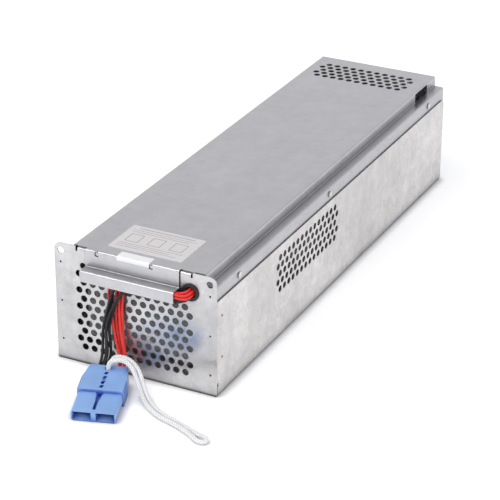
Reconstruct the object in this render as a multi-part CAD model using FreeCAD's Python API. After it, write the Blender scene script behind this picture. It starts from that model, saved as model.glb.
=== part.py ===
import FreeCAD, Part

# Battery cartridge of an uninterruptible power supply: a folded galvanised tray, front plate,
# rear panel and hood round eight sealed blocks, with eight wires that leave a grommet in the
# front plate and end in a two-pole connector. Millimetres. X runs across, Y to the rear, Z up.
# The origin is the middle of the underside.

import math
import os

Vector = FreeCAD.Vector

# Sheet metal
SHEET = 1.2                # galvanised sheet
BEND = 0.8                 # inside radius of every fold
SLIP = 0.2                 # play between sheets that slide past each other
SEAT = 0.3                 # play between a loose piece and its seat

# Sealed blocks
BLOCK_WIDTH, BLOCK_DEPTH, BLOCK_HEIGHT = 151.0, 65.0, 94.0
BLOCK_GAP = 0.1
BLOCKS = 8
BLOCK_PITCH = BLOCK_DEPTH + BLOCK_GAP
LINER = 1.0                # insulating sheet under the blocks
LID = 14.0
LID_OVERHANG = 0.5
POCKET = 13.0              # square recess round each terminal
POCKET_DEPTH = 4.0
COVER = (92.0, 26.0, 0.8)  # raised strip over the block's valves
TAB_X, TAB_Y = BLOCK_WIDTH / 2 - 12.5, BLOCK_DEPTH / 2 - 10.5   # terminals off the block's middle
TAB_WIDTH, TAB_SHEET, TAB_HEIGHT = 6.35, 0.8, 7.5
SLEEVE = (2.6, 7.8, 10.0)  # receptacle pushed over a tab
SLEEVE_LIFT = 1.0
LINK_RISE = 7.8
FIRST_LANE, LANE_PITCH = TAB_X - 5.0, 3.4

# Case
SIDE_ROOM = 12.0           # blocks to the outer face of each tray wall
FRONT_BAY, REAR_BAY = 21.6, 27.4           # front plate to the blocks, and blocks to the rear
HEADROOM = 28.6            # blocks to the inner face of the hood
WIDTH = BLOCK_WIDTH + 2 * SIDE_ROOM
LENGTH = FRONT_BAY + BLOCKS * BLOCK_PITCH + SHEET + REAR_BAY
HEIGHT = SHEET + LINER + BLOCK_HEIGHT + HEADROOM + SHEET
LEFT, RIGHT = -WIDTH / 2, WIDTH / 2
FRONT, REAR = -LENGTH / 2, LENGTH / 2

# Tray
WALL_TOP = HEIGHT - 25.4   # upper edge of the tray walls
RELIEF = 2.0               # width of the notches that end a fold
SEAM_TOP = 12.0            # the front corners stay open below this height
SEAM_GAP = 0.8
FLANGE = 13.0              # inward flanges behind the front plate
FLANGE_TOP = HEIGHT - 14.0
REAR_ROUND = 8.0           # upper rear corner of each wall
REAR_BEVEL = 3.0           # lower rear corner of each wall

# Front plate
EAR_ROUND = 7.0
EAR_HOLE = 7.0
EAR_SPACING = WIDTH - 14.0
EAR_LEVEL = HEIGHT - 8.0
FOLD_LEFT, FOLD_RIGHT = LEFT + 25.7, RIGHT - 27.0
FOLD_DEPTH = 11.0
NOTCH_DEPTH = 5.0

# Hood
TOP_LEFT, TOP_RIGHT = LEFT + 19.4, RIGHT - 12.0             # edges of the raised top
LEDGE_LEFT, LEDGE_RIGHT = HEIGHT - 18.0, HEIGHT - 11.5      # heights of the two side ledges
LEG_BOTTOM = HEIGHT - 32.0                 # the legs end inside the tray walls
HANDLE_LEFT, HANDLE_RIGHT = LEFT + 35.3, RIGHT - 38.8
SHELF_LEVEL = HEIGHT - 17.8                # upper face of the handle's shelf
HANDLE_REACH = 13.2                        # front plate to the lip's front face
LIP_BOTTOM = SHELF_LEVEL - 11.4
SLOT_START, SLOT_END = REAR - 60.5, REAR - 25.0             # slot through the right riser
RAIL_FLANGE = 10.0

# Rail screws
SCREW = 3.8
SCREW_HEAD, HEAD_HEIGHT = 6.0, 1.3
SCREW_REACH = 4.0                          # behind the rail
SCREW_PLACES = (FRONT + 48.9, FRONT + 254.7, REAR - 46.2)
SCREW_LEVELS = {-1: LEDGE_LEFT - 3.7, 1: LEDGE_RIGHT - 6.5}

# Vents
VENT = 7.0
VENT_PITCH = 10.0
VENT_ROW = 8.75
FRONT_VENTS = (-1.0, HEIGHT / 2 - 0.4)     # middles of the three fields
SIDE_VENTS = (FRONT + 201.6, WALL_TOP - 30.0)
TOP_VENTS = (1.9, REAR - 40.0)
FLATS = 6                  # a small round hole or pin is drawn with this many flats
SMALL_ROUND = [2 * math.pi * (k + 0.5) / FLATS for k in range(FLATS)]

# Grommet, wires and pull cord
GROMMET_X, GROMMET_Z = RIGHT - 27.4, HEIGHT - 20.2
GROMMET_FLANGE = 18.0
GROMMET_LIP = 1.6          # thickness of its flange on each face of the plate
GROMMET_BORE = 10.8
RING_FLATS = 16            # flats of the grommet and of the contact bores
RING_ROUND = [2 * math.pi * (k + 0.5) / RING_FLATS for k in range(RING_FLATS)]
CABLE_HOLE = 14.6
WIRE = 2.8
CORD = 4.6                 # each strand of the doubled pull cord
TUBE_FLATS = 4             # wires and cord are drawn with this many flats
RED_LEVEL, BLACK_LEVEL = HEIGHT - 12.5, HEIGHT - 18.4       # heights of the leads over the blocks

# Inner fittings
SIDE_FLANGE = 10.0
GUIDE_BOTTOM, GUIDE_TOP = 12.0, 38.0
STOP_TOP, STOP_FOOT = 30.0, 14.0
FOAM_LEFT, FOAM_RIGHT = -28.0, 20.0
REAR_FOAM_WIDTH, REAR_FOAM_HEIGHT = 130.0, 62.0
FRONT_FOAM = (-55.0, 72.0, 67.7)           # its two ends, and its height over the front stop
FOAM_SETBACK = 5.0                         # front plate to the front foam

# Connector, in its own frame: the nose is at Y = 0, the wires enter at Y = PLUG_LENGTH
PLUG_LENGTH = 71.5
NOSE_LENGTH = 31.0
NOSE_WIDTH, NOSE_HEIGHT, NOSE_ROUND = 42.8, 11.4, 3.0
GRIP_WIDTH, GRIP_HEIGHT, GRIP_LENGTH = 44.4, 17.0, 19.0
TAIL_WIDTH = 36.6
RIBS, RIB_PITCH, RIB_DEPTH = 5, 3.4, 0.9
POLE = 9.6                 # each pole off the middle
MOUTH_WIDTH, MOUTH_HEIGHT, MOUTH_DEPTH = 17.6, 8.8, 30.0
BORE = 10.0
PLUG_GAP = 2.3             # wall between a bore's side and the middle line of its mouth
BORE_START = 43.7
GROOVE_WIDTH, GROOVE_DEPTH, GROOVE_NOSE = 7.6, 0.8, 6.0
POCKETS, POCKET_PITCH, FIRST_POCKET = 4, 5.4, 35.0   # row of small pockets on the grip's top
POCKET_WIDTH, POCKET_LENGTH = 2.6, 3.0
CORD_HOLE = 6.4
CORD_HOLE_Y = 66.6
BARREL, BARREL_END = 9.2, 66.0
BLADE_WIDTH, BLADE_SHEET, BLADE_START = 9.6, 2.2, 12.0
SPRING_SHEET, SPRING_WIDTH = 0.5, 7.0
SPRING_RISE = 8.0
PLUG_X, PLUG_Y = GROMMET_X - 53.9, FRONT - 91.9   # middle of the nose's lower edge, on the floor
PLUG_TURN, PLUG_TILT = 17.5, 5.7           # degrees: to the left, and nose down

# Routes of the free wires, from the grommet's face to the contact barrels, drawn for a grommet
# whose middle is at ROUTES_FROM
ROUTES_FROM = (60.1, -285.5, 105.8)
WIRE_ROUTES = {
    "red_wire_1": [
        (63.0, -287.1, 108.1), (62.9, -293.1, 107.7), (59.1, -297.5, 106.4), (49.3, -295.9, 105.4),
        (30.5, -295.1, 105.4), (11.5, -292.9, 105.3), (-5.5, -291.9, 105.3),
        (-20.1, -290.5, 103.8), (-26.3, -289.9, 95.2), (-26.9, -289.1, 82.0),
        (-21.9, -288.4, 68.0), (-15.1, -289.1, 54.0), (-10.1, -291.5, 40.0), (-7.9, -294.9, 28.0),
        (-8.1, -300.1, 19.8), (-8.3, -305.0, 14.7), (-5.8, -313.1, 13.8)],
    "red_wire_2": [
        (63.6, -287.1, 105.0), (63.5, -293.5, 104.6), (59.9, -298.1, 103.4), (49.7, -296.0, 102.3),
        (32.5, -295.2, 102.2), (14.5, -292.9, 102.1), (3.5, -291.6, 102.1), (-5.7, -291.4, 102.3),
        (-11.1, -288.5, 97.4), (-12.1, -288.4, 83.0), (-11.3, -288.4, 68.0), (-9.3, -288.4, 52.0),
        (-7.9, -289.1, 37.0), (-8.1, -291.3, 24.0), (-9.3, -297.1, 15.6), (-8.4, -304.7, 11.5),
        (-5.9, -312.8, 10.6)],
    "red_wire_3": [
        (60.1, -287.1, 109.3), (60.0, -291.5, 108.8), (56.7, -294.6, 107.8), (48.0, -292.9, 105.2),
        (29.5, -291.9, 105.4), (13.5, -289.3, 105.3), (3.1, -288.4, 105.2), (-4.7, -288.4, 101.6),
        (-6.6, -288.4, 91.0), (-6.3, -289.9, 74.5), (-3.9, -291.7, 57.0), (-1.1, -292.9, 41.0),
        (-0.9, -295.3, 28.0), (-3.5, -299.7, 19.6), (-5.1, -304.0, 14.7), (-2.6, -312.1, 13.8)],
    "red_wire_4": [
        (60.1, -287.1, 105.8), (60.0, -291.5, 105.2), (57.1, -294.4, 103.8), (48.3, -293.0, 102.2),
        (31.5, -292.1, 102.2), (17.5, -289.3, 102.1), (6.5, -288.4, 102.0), (-1.3, -288.3, 98.2),
        (-2.9, -288.3, 88.0), (-2.9, -288.4, 73.0), (-3.1, -288.7, 56.0), (-2.9, -289.7, 40.0),
        (-3.3, -291.7, 25.0), (-4.9, -297.1, 16.0), (-5.2, -303.7, 11.5), (-2.6, -311.8, 10.6)],
    "black_wire_1": [
        (61.6, -287.1, 102.4), (61.5, -292.5, 101.9), (58.1, -295.9, 100.4), (48.5, -295.1, 99.2),
        (30.5, -294.7, 99.0), (10.5, -295.6, 98.9), (-7.5, -295.6, 98.9), (-16.7, -295.6, 96.4),
        (-20.3, -295.6, 86.0), (-24.3, -295.6, 69.0), (-27.9, -295.5, 50.0), (-29.1, -295.7, 34.0),
        (-28.9, -299.1, 23.0), (-27.4, -308.4, 14.9), (-24.1, -318.9, 13.8)],
    "black_wire_2": [
        (58.5, -287.1, 102.4), (58.7, -291.0, 101.1), (55.7, -293.2, 98.2), (46.5, -293.7, 96.0),
        (29.5, -293.8, 96.0), (12.5, -295.6, 95.9), (-3.5, -295.6, 95.9), (-11.9, -295.6, 93.2),
        (-15.9, -295.6, 82.0), (-19.3, -295.6, 66.0), (-21.9, -295.5, 49.0), (-22.7, -295.7, 34.0),
        (-23.1, -298.9, 23.0), (-24.2, -307.4, 14.9), (-20.9, -317.8, 13.8)],
    "black_wire_3": [
        (57.5, -287.1, 107.9), (56.9, -290.5, 107.7), (54.3, -291.6, 106.4), (46.1, -289.5, 99.8),
        (30.5, -289.9, 99.0), (10.5, -292.6, 98.9), (-7.5, -292.6, 98.9), (-16.9, -292.6, 96.6),
        (-20.7, -292.6, 86.0), (-22.5, -292.4, 69.0), (-24.7, -292.4, 50.0), (-25.9, -292.4, 33.0),
        (-26.5, -295.3, 19.2), (-27.5, -308.1, 11.7), (-24.2, -318.6, 10.6)],
    "black_wire_4": [
        (56.6, -287.1, 105.0), (56.1, -290.2, 103.6), (53.7, -290.9, 99.6), (45.7, -290.1, 96.2),
        (29.5, -290.1, 96.0), (12.5, -292.6, 95.9), (-3.5, -292.6, 95.9), (-12.1, -292.6, 93.2),
        (-16.1, -292.6, 82.0), (-17.9, -292.4, 66.0), (-18.9, -292.4, 49.0), (-19.7, -292.4, 33.0),
        (-21.5, -295.1, 19.2), (-24.3, -307.1, 11.7), (-21.0, -317.5, 10.6)],
}

# Route of the doubled pull cord, from the connector's hole out to its loop and back
CORD_ROUTE = [
    (-13.5, -315.0, 14.8), (-13.2, -316.0, 25.0), (-7.5, -316.7, 31.6), (2.1, -311.9, 31.2),
    (11.3, -312.5, 25.2), (18.9, -317.3, 13.0), (27.1, -324.9, 5.0), (41.7, -337.1, 2.5),
    (59.1, -346.7, 2.6), (70.9, -349.3, 2.5), (86.9, -355.0, 2.6), (99.5, -361.3, 2.5),
    (108.9, -367.3, 2.6), (117.1, -366.1, 2.6), (116.9, -358.9, 2.6), (105.9, -356.1, 2.5),
    (89.3, -349.5, 2.6), (73.3, -343.7, 2.5), (62.7, -341.1, 2.6), (45.9, -331.9, 2.5),
    (31.1, -318.9, 5.2), (23.1, -311.1, 12.6), (14.9, -306.3, 24.0), (5.1, -305.1, 30.4),
    (-5.3, -306.9, 31.4), (-13.9, -304.5, 26.6), (-16.9, -304.3, 18.2), (-15.0, -310.2, 13.8)]

MIDDLE = SHEET / 2                         # from a sheet's face to its middle line
WALL_FACE = RIGHT - SHEET                  # inner face of the right wall
LEG_FACE = WALL_FACE - SLIP                # outer face of the hood's right leg
HOOD_FRONT = FRONT + 2 * SHEET + BEND
BLOCK_BASE = SHEET + LINER
LID_TOP = BLOCK_BASE + BLOCK_HEIGHT
BAY_FRONT = FRONT + FRONT_BAY
DIVIDER_Y = BAY_FRONT + BLOCKS // 2 * BLOCK_PITCH + MIDDLE
BAY_REAR = DIVIDER_Y + MIDDLE + BLOCKS // 2 * BLOCK_PITCH
GUIDE_FACE = BLOCK_WIDTH / 2 + SEAT


def save(name, shape):
    """Write one node and print its size."""
    shape = shape.removeSplitter()
    shape.exportStep("parts/" + name + ".step")
    print(name, "solids", len(shape.Solids), "valid", shape.isValid(), "volume", round(shape.Volume))


def box(x, y, z):
    """Box between the two ends given on each axis."""
    corner = Vector(min(x), min(y), min(z))
    return Part.makeBox(abs(x[1] - x[0]), abs(y[1] - y[0]), abs(z[1] - z[0]), corner)


def on_axis(axis, u, v, w):
    """Point with w along the axis, and u and v along the other two in their usual order."""
    return {"X": Vector(w, u, v), "Y": Vector(u, w, v), "Z": Vector(u, v, w)}[axis]


def prism(outline, axis, start, stop):
    """Straight-sided solid on a closed outline."""
    corners = [on_axis(axis, u, v, start) for u, v in outline]
    face = Part.Face(Part.makePolygon(corners + corners[:1]))
    return face.extrude(on_axis(axis, 0, 0, stop - start))


def round_bar(diameter, axis, u, v, start, stop):
    """Cylinder along an axis."""
    return Part.makeCylinder(diameter / 2, stop - start, on_axis(axis, u, v, start),
                             on_axis(axis, 0, 0, 1))


def flatted_bar(diameter, axis, u, v, start, stop, angles=SMALL_ROUND):
    """Bar with flats between the given angles and the area of a round one."""
    step = angles[1] - angles[0]
    radius = diameter / 2 * math.sqrt(step / math.sin(step))
    outline = [(u + radius * math.cos(angle), v + radius * math.sin(angle)) for angle in angles]
    return prism(outline, axis, start, stop)


def ring_bar(diameter, x, z, start, stop):
    """Bar along Y with enough flats for the grommet and the contact bores."""
    return flatted_bar(diameter, "Y", x, z, start, stop, RING_ROUND)


def routed(route):
    """Route moved with the grommet; points in its lower half keep their height over the floor."""
    x, y, z = ROUTES_FROM
    return [(GROMMET_X + point[0] - x, FRONT + point[1] - y,
             point[2] + (GROMMET_Z - z if point[2] > z / 2 else 0)) for point in route]


def folded_sheet(points, axis, start, stop, sheet=SHEET, bend=BEND):
    """Sheet whose middle line follows the points, with a round fold at each corner."""
    path = [Vector(u, v, 0) for u, v in points]
    runs = [(b - a).normalize() for a, b in zip(path, path[1:])]
    lefts = [Vector(-run.y, run.x, 0) for run in runs]
    radius = bend + sheet / 2
    outlines, ends = [], []
    for side in (sheet / 2, -sheet / 2):
        here = path[0] + lefts[0] * side
        ends.append(here)
        for corner, run, left, next_run, next_left in zip(path[1:], runs, lefts, runs[1:], lefts[1:]):
            inward = 1 if run.cross(next_run).z > 0 else -1
            reach = radius * math.tan(run.getAngle(next_run) / 2)
            centre = corner - run * reach + left * inward * radius
            arm = inward * radius - side
            first, last = centre - left * arm, centre - next_left * arm
            bow = centre + ((first + last) / 2 - centre).normalize() * abs(arm)
            outlines += [(here, first), (first, bow, last)]
            here = last
        ends.append(path[-1] + lefts[-1] * side)
        outlines.append((here, ends[-1]))
    outlines += [(ends[0], ends[2]), (ends[1], ends[3])]
    edges = []
    for outline in outlines:
        curve = Part.Arc if len(outline) == 3 else Part.LineSegment
        edges.append(curve(*[on_axis(axis, p.x, p.y, start) for p in outline]).toShape())
    face = Part.Face(Part.Wire(Part.__sortEdges__(edges)))
    return face.extrude(on_axis(axis, 0, 0, stop - start))


def vent_field(axis, middle, rows, count, start, stop, clear=lambda u, v: True):
    """Punches for a staggered field whose rows hold count and count + 1 vents by turns."""
    punches = []
    for row in range(rows):
        v = middle[1] + (row - (rows - 1) / 2) * VENT_ROW
        number = count + row % 2
        for place in range(number):
            u = middle[0] + (place - (number - 1) / 2) * VENT_PITCH
            if clear(u, v):
                punches.append(flatted_bar(VENT, axis, u, v, start, stop))
    return Part.makeCompound(punches)


def tube(name, route, diameter):
    """Tube of straight runs joined by tangent arcs as large as the runs allow."""
    points = [Vector(*point) for point in route]
    runs = [b - a for a, b in zip(points, points[1:])]
    along = Vector(runs[0]).normalize()
    across = along.cross(Vector(0, 0, 1) if abs(along.z) < 0.9 else Vector(1, 0, 0)).normalize()
    up = along.cross(across)
    angles = [2 * math.pi * k / TUBE_FLATS for k in range(TUBE_FLATS)]
    corners = [points[0] + across * (diameter / 2 * math.cos(a)) + up * (diameter / 2 * math.sin(a))
               for a in angles]
    section = Part.makePolygon(corners + corners[:1])
    area = Part.Face(section).Area
    faces, radii, length, here = [Part.Face(section)], [], 0, points[0]
    for corner, run, next_run in zip(points[1:], runs, runs[1:]):
        reach = 0.45 * min(run.Length, next_run.Length)
        turn = run.getAngle(next_run)
        radius = reach / math.tan(turn / 2)
        run, next_run = Vector(run).normalize(), Vector(next_run).normalize()
        first, last = corner - run * reach, corner + next_run * reach
        centre = corner + (next_run - run).normalize() * (radius / math.cos(turn / 2))
        spin = (centre, run.cross(next_run), math.degrees(turn))
        faces += section.extrude(first - here).Faces
        section = section.translated(first - here)
        faces += section.revolve(*spin).Faces
        section = section.rotated(*spin)
        length += (first - here).Length + radius * turn
        radii.append(round(radius, 1))
        here = last
    faces += section.extrude(points[-1] - here).Faces
    faces.append(Part.Face(section.translated(points[-1] - here)))
    length += (points[-1] - here).Length
    skin = Part.makeCompound(faces)
    skin.sewShape()
    pipe = Part.Solid(Part.Shell(skin.Faces))
    if pipe.Volume < 0:
        pipe.reverse()
    print(name, "length", round(length), "volume ratio", round(pipe.Volume / area / length, 3),
          "radii", radii)
    return pipe


def tray():
    """Floor and both walls folded from one sheet, with flanges behind the front plate."""
    half = RIGHT - MIDDLE
    start = FRONT + SHEET
    fold = SHEET + BEND
    shape = folded_sheet([(-half, WALL_TOP), (-half, MIDDLE), (half, MIDDLE), (half, WALL_TOP)],
                         "Y", start, REAR)
    for side in (-1, 1):
        corner = (side * (WALL_FACE - BEND), side * (RIGHT + 1))
        edge = side * (RIGHT - FLANGE)
        shape = shape.cut(box(corner, (start - 1, start + fold), (SEAM_TOP, WALL_TOP + 1)))
        shape = shape.cut(box(corner, (start - 1, start + SEAM_GAP), (fold, SEAM_TOP)))
        shape = shape.fuse(folded_sheet(
            [(side * half, start + FLANGE), (side * half, start + MIDDLE), (edge, start + MIDDLE)],
            "Z", SEAM_TOP + RELIEF, WALL_TOP))
        shape = shape.fuse(box((edge, corner[0]), (start, start + SHEET), (WALL_TOP - 1, FLANGE_TOP)))
    upper = (REAR - REAR_ROUND, WALL_TOP - REAR_ROUND)
    across = (LEFT - 1, RIGHT + 1)
    rounding = box(across, (upper[0], REAR + 1), (upper[1], WALL_TOP + 1))
    rounding = rounding.cut(round_bar(2 * REAR_ROUND, "X", *upper, *across))
    bevel = prism([(REAR - REAR_BEVEL, 0), (REAR, REAR_BEVEL), (REAR + 1, -1)], "X", *across)
    vents = vent_field("X", SIDE_VENTS, 5, 14, WALL_FACE - 1, RIGHT + 1)
    return shape.cut(rounding).cut(bevel).cut(vents)


def front_plate():
    """Flat plate with ears, vents and a cable hole; its upper edge is folded back."""
    through = (FRONT - 1, FRONT + SHEET + 1)
    shape = box((LEFT, RIGHT), (FRONT, FRONT + SHEET), (0, HEIGHT))
    upper = [edge for edge in shape.Edges
             if edge.BoundBox.ZMin > HEIGHT - 0.1 and edge.BoundBox.XLength < 0.1]
    shape = shape.makeFillet(EAR_ROUND, upper)
    shape = shape.cut(box((FOLD_LEFT - RELIEF, FOLD_RIGHT + RELIEF), through,
                          (HEIGHT - NOTCH_DEPTH, HEIGHT + 1)))
    level = HEIGHT - SHEET - MIDDLE
    shape = shape.fuse(folded_sheet(
        [(FRONT + MIDDLE, level - 2 * NOTCH_DEPTH), (FRONT + MIDDLE, level), (FRONT + FOLD_DEPTH, level)],
        "X", FOLD_LEFT, FOLD_RIGHT))
    for x in (-EAR_SPACING / 2, EAR_SPACING / 2):
        shape = shape.cut(round_bar(EAR_HOLE, "Y", x, EAR_LEVEL, *through))
    shape = shape.cut(ring_bar(CABLE_HOLE, GROMMET_X, GROMMET_Z, *through))
    keep_off = (GROMMET_FLANGE + VENT) / 2

    def clear(x, z):
        return math.hypot(x - GROMMET_X, z - GROMMET_Z) > keep_off

    return shape.cut(vent_field("Y", FRONT_VENTS, 11, 12, *through, clear))


def rear_panel():
    """End panel inside the walls and the hood, with flanges welded to the walls."""
    x = WALL_FACE - SLIP - MIDDLE
    y = REAR - MIDDLE
    low, high = SEAM_TOP, LEG_BOTTOM - RELIEF
    shape = folded_sheet([(-x, REAR - FLANGE), (-x, y), (x, y), (x, REAR - FLANGE)], "Z", low, high)
    shape = shape.fuse(box((-x + 2 * BEND, x - 2 * BEND), (REAR - SHEET, REAR), (SHEET, low)))
    leg = LEG_FACE - SHEET - SEAT
    right, left = TOP_RIGHT - SHEET - SEAT, TOP_LEFT + SHEET + SEAT
    shoulder_right, shoulder_left = LEDGE_RIGHT - SHEET - SEAT, LEDGE_LEFT - SHEET - SEAT
    top = HEIGHT - SHEET - SEAT
    upper = [(-leg, high), (leg, high), (leg, shoulder_right), (right, shoulder_right), (right, top),
             (left, top), (left, shoulder_left), (-leg, shoulder_left)]
    return shape.fuse(prism(upper, "Y", REAR - SHEET, REAR))


def hood():
    """Cover stepped down along both sides; its front flap, shelf and lip make the handle."""
    leg = LEG_FACE - MIDDLE
    left, right = TOP_LEFT + MIDDLE, TOP_RIGHT - MIDDLE
    low_left, low_right, top = LEDGE_LEFT - MIDDLE, LEDGE_RIGHT - MIDDLE, HEIGHT - MIDDLE
    shape = folded_sheet(
        [(-leg, LEG_BOTTOM), (-leg, low_left), (left, low_left), (left, top),
         (right, top), (right, low_right), (leg, low_right), (leg, LEG_BOTTOM)],
        "Y", HOOD_FRONT, REAR)
    shelf, lip = SHELF_LEVEL - MIDDLE, FRONT - HANDLE_REACH + MIDDLE
    shape = shape.fuse(folded_sheet(
        [(HOOD_FRONT + FOLD_DEPTH, top), (FRONT - MIDDLE, top), (FRONT - MIDDLE, shelf), (lip, shelf),
         (lip, LIP_BOTTOM)],
        "X", HANDLE_LEFT, HANDLE_RIGHT))
    shape = shape.cut(box((right - SHEET, right + SHEET), (SLOT_START, SLOT_END),
                          (LEDGE_RIGHT, HEIGHT - SHEET)))
    vents = vent_field("Z", TOP_VENTS, 5, 11, HEIGHT - SHEET - 1, HEIGHT + 1)
    return shape.cut(vents).cut(screw_shanks())


def hood_rail(side):
    """Angle behind a leg of the hood, from the front flange to the rear panel."""
    ledge = LEDGE_RIGHT if side > 0 else LEDGE_LEFT
    x = side * (LEG_FACE - SHEET - MIDDLE)
    top = ledge - SHEET - SLIP - MIDDLE
    shape = folded_sheet([(x, LEG_BOTTOM), (x, top), (x - side * RAIL_FLANGE, top)],
                         "Y", FRONT + 2 * SHEET, REAR - SHEET)
    return shape.cut(screw_shanks())


def screw_shanks():
    """Shanks of the six rail screws, through leg and rail."""
    return Part.makeCompound([
        flatted_bar(SCREW, "X", y, SCREW_LEVELS[side], *sorted(
            (side * LEG_FACE, side * (LEG_FACE - 2 * SHEET - SCREW_REACH))))
        for side in (-1, 1) for y in SCREW_PLACES])


def screw_heads():
    """Flat round heads on the legs' outer faces."""
    return Part.makeCompound([
        flatted_bar(SCREW_HEAD, "X", y, SCREW_LEVELS[side], *sorted(
            (side * LEG_FACE, side * (LEG_FACE + HEAD_HEIGHT))))
        for side in (-1, 1) for y in SCREW_PLACES])


def divider():
    """Cross wall between the two bays, with flanges welded to the walls."""
    x = WALL_FACE - SLIP - MIDDLE
    back = DIVIDER_Y + SIDE_FLANGE
    low = GUIDE_TOP + RELIEF
    shape = folded_sheet([(-x, back), (-x, DIVIDER_Y), (x, DIVIDER_Y), (x, back)], "Z", low,
                         LEG_BOTTOM - RELIEF)
    half = BLOCK_WIDTH / 2
    return shape.fuse(box((-half, half), (DIVIDER_Y - MIDDLE, DIVIDER_Y + MIDDLE), (SHEET, low)))


def block_guide(side):
    """Channel welded to a wall; the edges of its flanges steady the blocks."""
    web, edge = side * (WALL_FACE - MIDDLE), side * GUIDE_FACE
    low, high = GUIDE_BOTTOM + MIDDLE, GUIDE_TOP - MIDDLE
    return folded_sheet([(edge, low), (web, low), (web, high), (edge, high)], "Y", BAY_FRONT, BAY_REAR)


def front_stop():
    """Angle on the floor in front of the first block."""
    y = BAY_FRONT - SEAT - MIDDLE
    level = SHEET + MIDDLE
    half = BLOCK_WIDTH / 2 - FLANGE / 2
    return folded_sheet([(y - STOP_FOOT, level), (y, level), (y, STOP_TOP)], "X", -half, half)


def block_middle(number):
    """Y of a block's middle; half the blocks stand in each bay."""
    if number < BLOCKS // 2:
        return BAY_FRONT + BLOCK_DEPTH / 2 + number * BLOCK_PITCH
    return BAY_REAR - BLOCK_DEPTH / 2 - (BLOCKS - 1 - number) * BLOCK_PITCH


def tab_y(number):
    """Y of a block's two terminals; every second block is turned round."""
    return block_middle(number) + (TAB_Y if number % 2 == 0 else -TAB_Y)


def block(number):
    """Sealed lead-acid block: case, lid with two terminal pockets and a valve cover."""
    y, half = block_middle(number), BLOCK_WIDTH / 2
    inset = LID_OVERHANG
    case = box((-half + inset, half - inset), (y - BLOCK_DEPTH / 2 + inset, y + BLOCK_DEPTH / 2 - inset),
               (BLOCK_BASE, LID_TOP - LID))
    lid = box((-half, half), (y - BLOCK_DEPTH / 2, y + BLOCK_DEPTH / 2), (LID_TOP - LID, LID_TOP))
    length, depth, height = COVER
    cover = box((-length / 2, length / 2), (y - depth / 2, y + depth / 2), (LID_TOP, LID_TOP + height))
    shape = case.fuse([lid, cover])
    for x in (-TAB_X, TAB_X):
        shape = shape.cut(box((x - POCKET / 2, x + POCKET / 2),
                              (tab_y(number) - POCKET / 2, tab_y(number) + POCKET / 2),
                              (LID_TOP - POCKET_DEPTH, LID_TOP + 1)))
    return shape


def tab(side, number):
    """Flat terminal that stands in its pocket."""
    x, y, z = side * TAB_X, tab_y(number), LID_TOP - POCKET_DEPTH
    return box((x - TAB_SHEET / 2, x + TAB_SHEET / 2), (y - TAB_WIDTH / 2, y + TAB_WIDTH / 2),
               (z, z + TAB_HEIGHT))


def sleeve(side, number):
    """Receptacle on a tab, and the level of its upper face."""
    x, y, z = side * TAB_X, tab_y(number), LID_TOP - POCKET_DEPTH + SLEEVE_LIFT
    width, depth, height = SLEEVE
    shape = box((x - width / 2, x + width / 2), (y - depth / 2, y + depth / 2), (z, z + height))
    return shape.cut(tab(side, number)), z + height


def link(number):
    """Lead between the left terminals of a block and the next one."""
    first, level = sleeve(-1, number)
    second, level = sleeve(-1, number + 1)
    y, next_y = tab_y(number), tab_y(number + 1)
    arch = tube("link", [(-TAB_X, y, level), (-TAB_X, y, level + LINK_RISE),
                         (-TAB_X, next_y, level + LINK_RISE), (-TAB_X, next_y, level)], WIRE)
    return first.fuse([second, arch])


def harness_lead(number, wire, lane_level):
    """Lead from a right terminal along its lane to the wire's place in the grommet."""
    shape, level = sleeve(1, number)
    lane = FIRST_LANE - LANE_PITCH * number
    y = tab_y(number)
    out = routed(WIRE_ROUTES[wire])[0]
    lead = tube(wire + " inside", [
        (TAB_X, y, level), (TAB_X, y, lane_level), (lane, y - 2 * POCKET, lane_level),
        (lane, FRONT + 2 * FLANGE, lane_level), (out[0], FRONT + FLANGE / 2, out[2]),
        (out[0], out[1], out[2])], WIRE)
    return shape.fuse(lead.cut(free_wires[wire]))


def grommet():
    """Rubber ring with a flange on each face of the plate."""
    y = FRONT
    faces = (y - GROMMET_LIP, y, y + SHEET, y + SHEET + GROMMET_LIP)
    shape = ring_bar(CABLE_HOLE, GROMMET_X, GROMMET_Z, faces[0], faces[3])
    shape = shape.fuse(ring_bar(GROMMET_FLANGE, GROMMET_X, GROMMET_Z, faces[0], faces[1]))
    shape = shape.fuse(ring_bar(GROMMET_FLANGE, GROMMET_X, GROMMET_Z, faces[2], faces[3]))
    return shape.cut(ring_bar(GROMMET_BORE, GROMMET_X, GROMMET_Z, faces[0] - 1, faces[3] + 1))


def on_floor(shape):
    """Turn and tilt a connector piece to where it lies."""
    turn = FreeCAD.Rotation(Vector(0, 0, 1), PLUG_TURN)
    turn = turn.multiply(FreeCAD.Rotation(Vector(1, 0, 0), PLUG_TILT))
    base = Vector(PLUG_X, PLUG_Y, 0) + turn.multVec(Vector(0, 0, NOSE_HEIGHT / 2))
    shape.Placement = FreeCAD.Placement(base, turn)
    return shape


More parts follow.
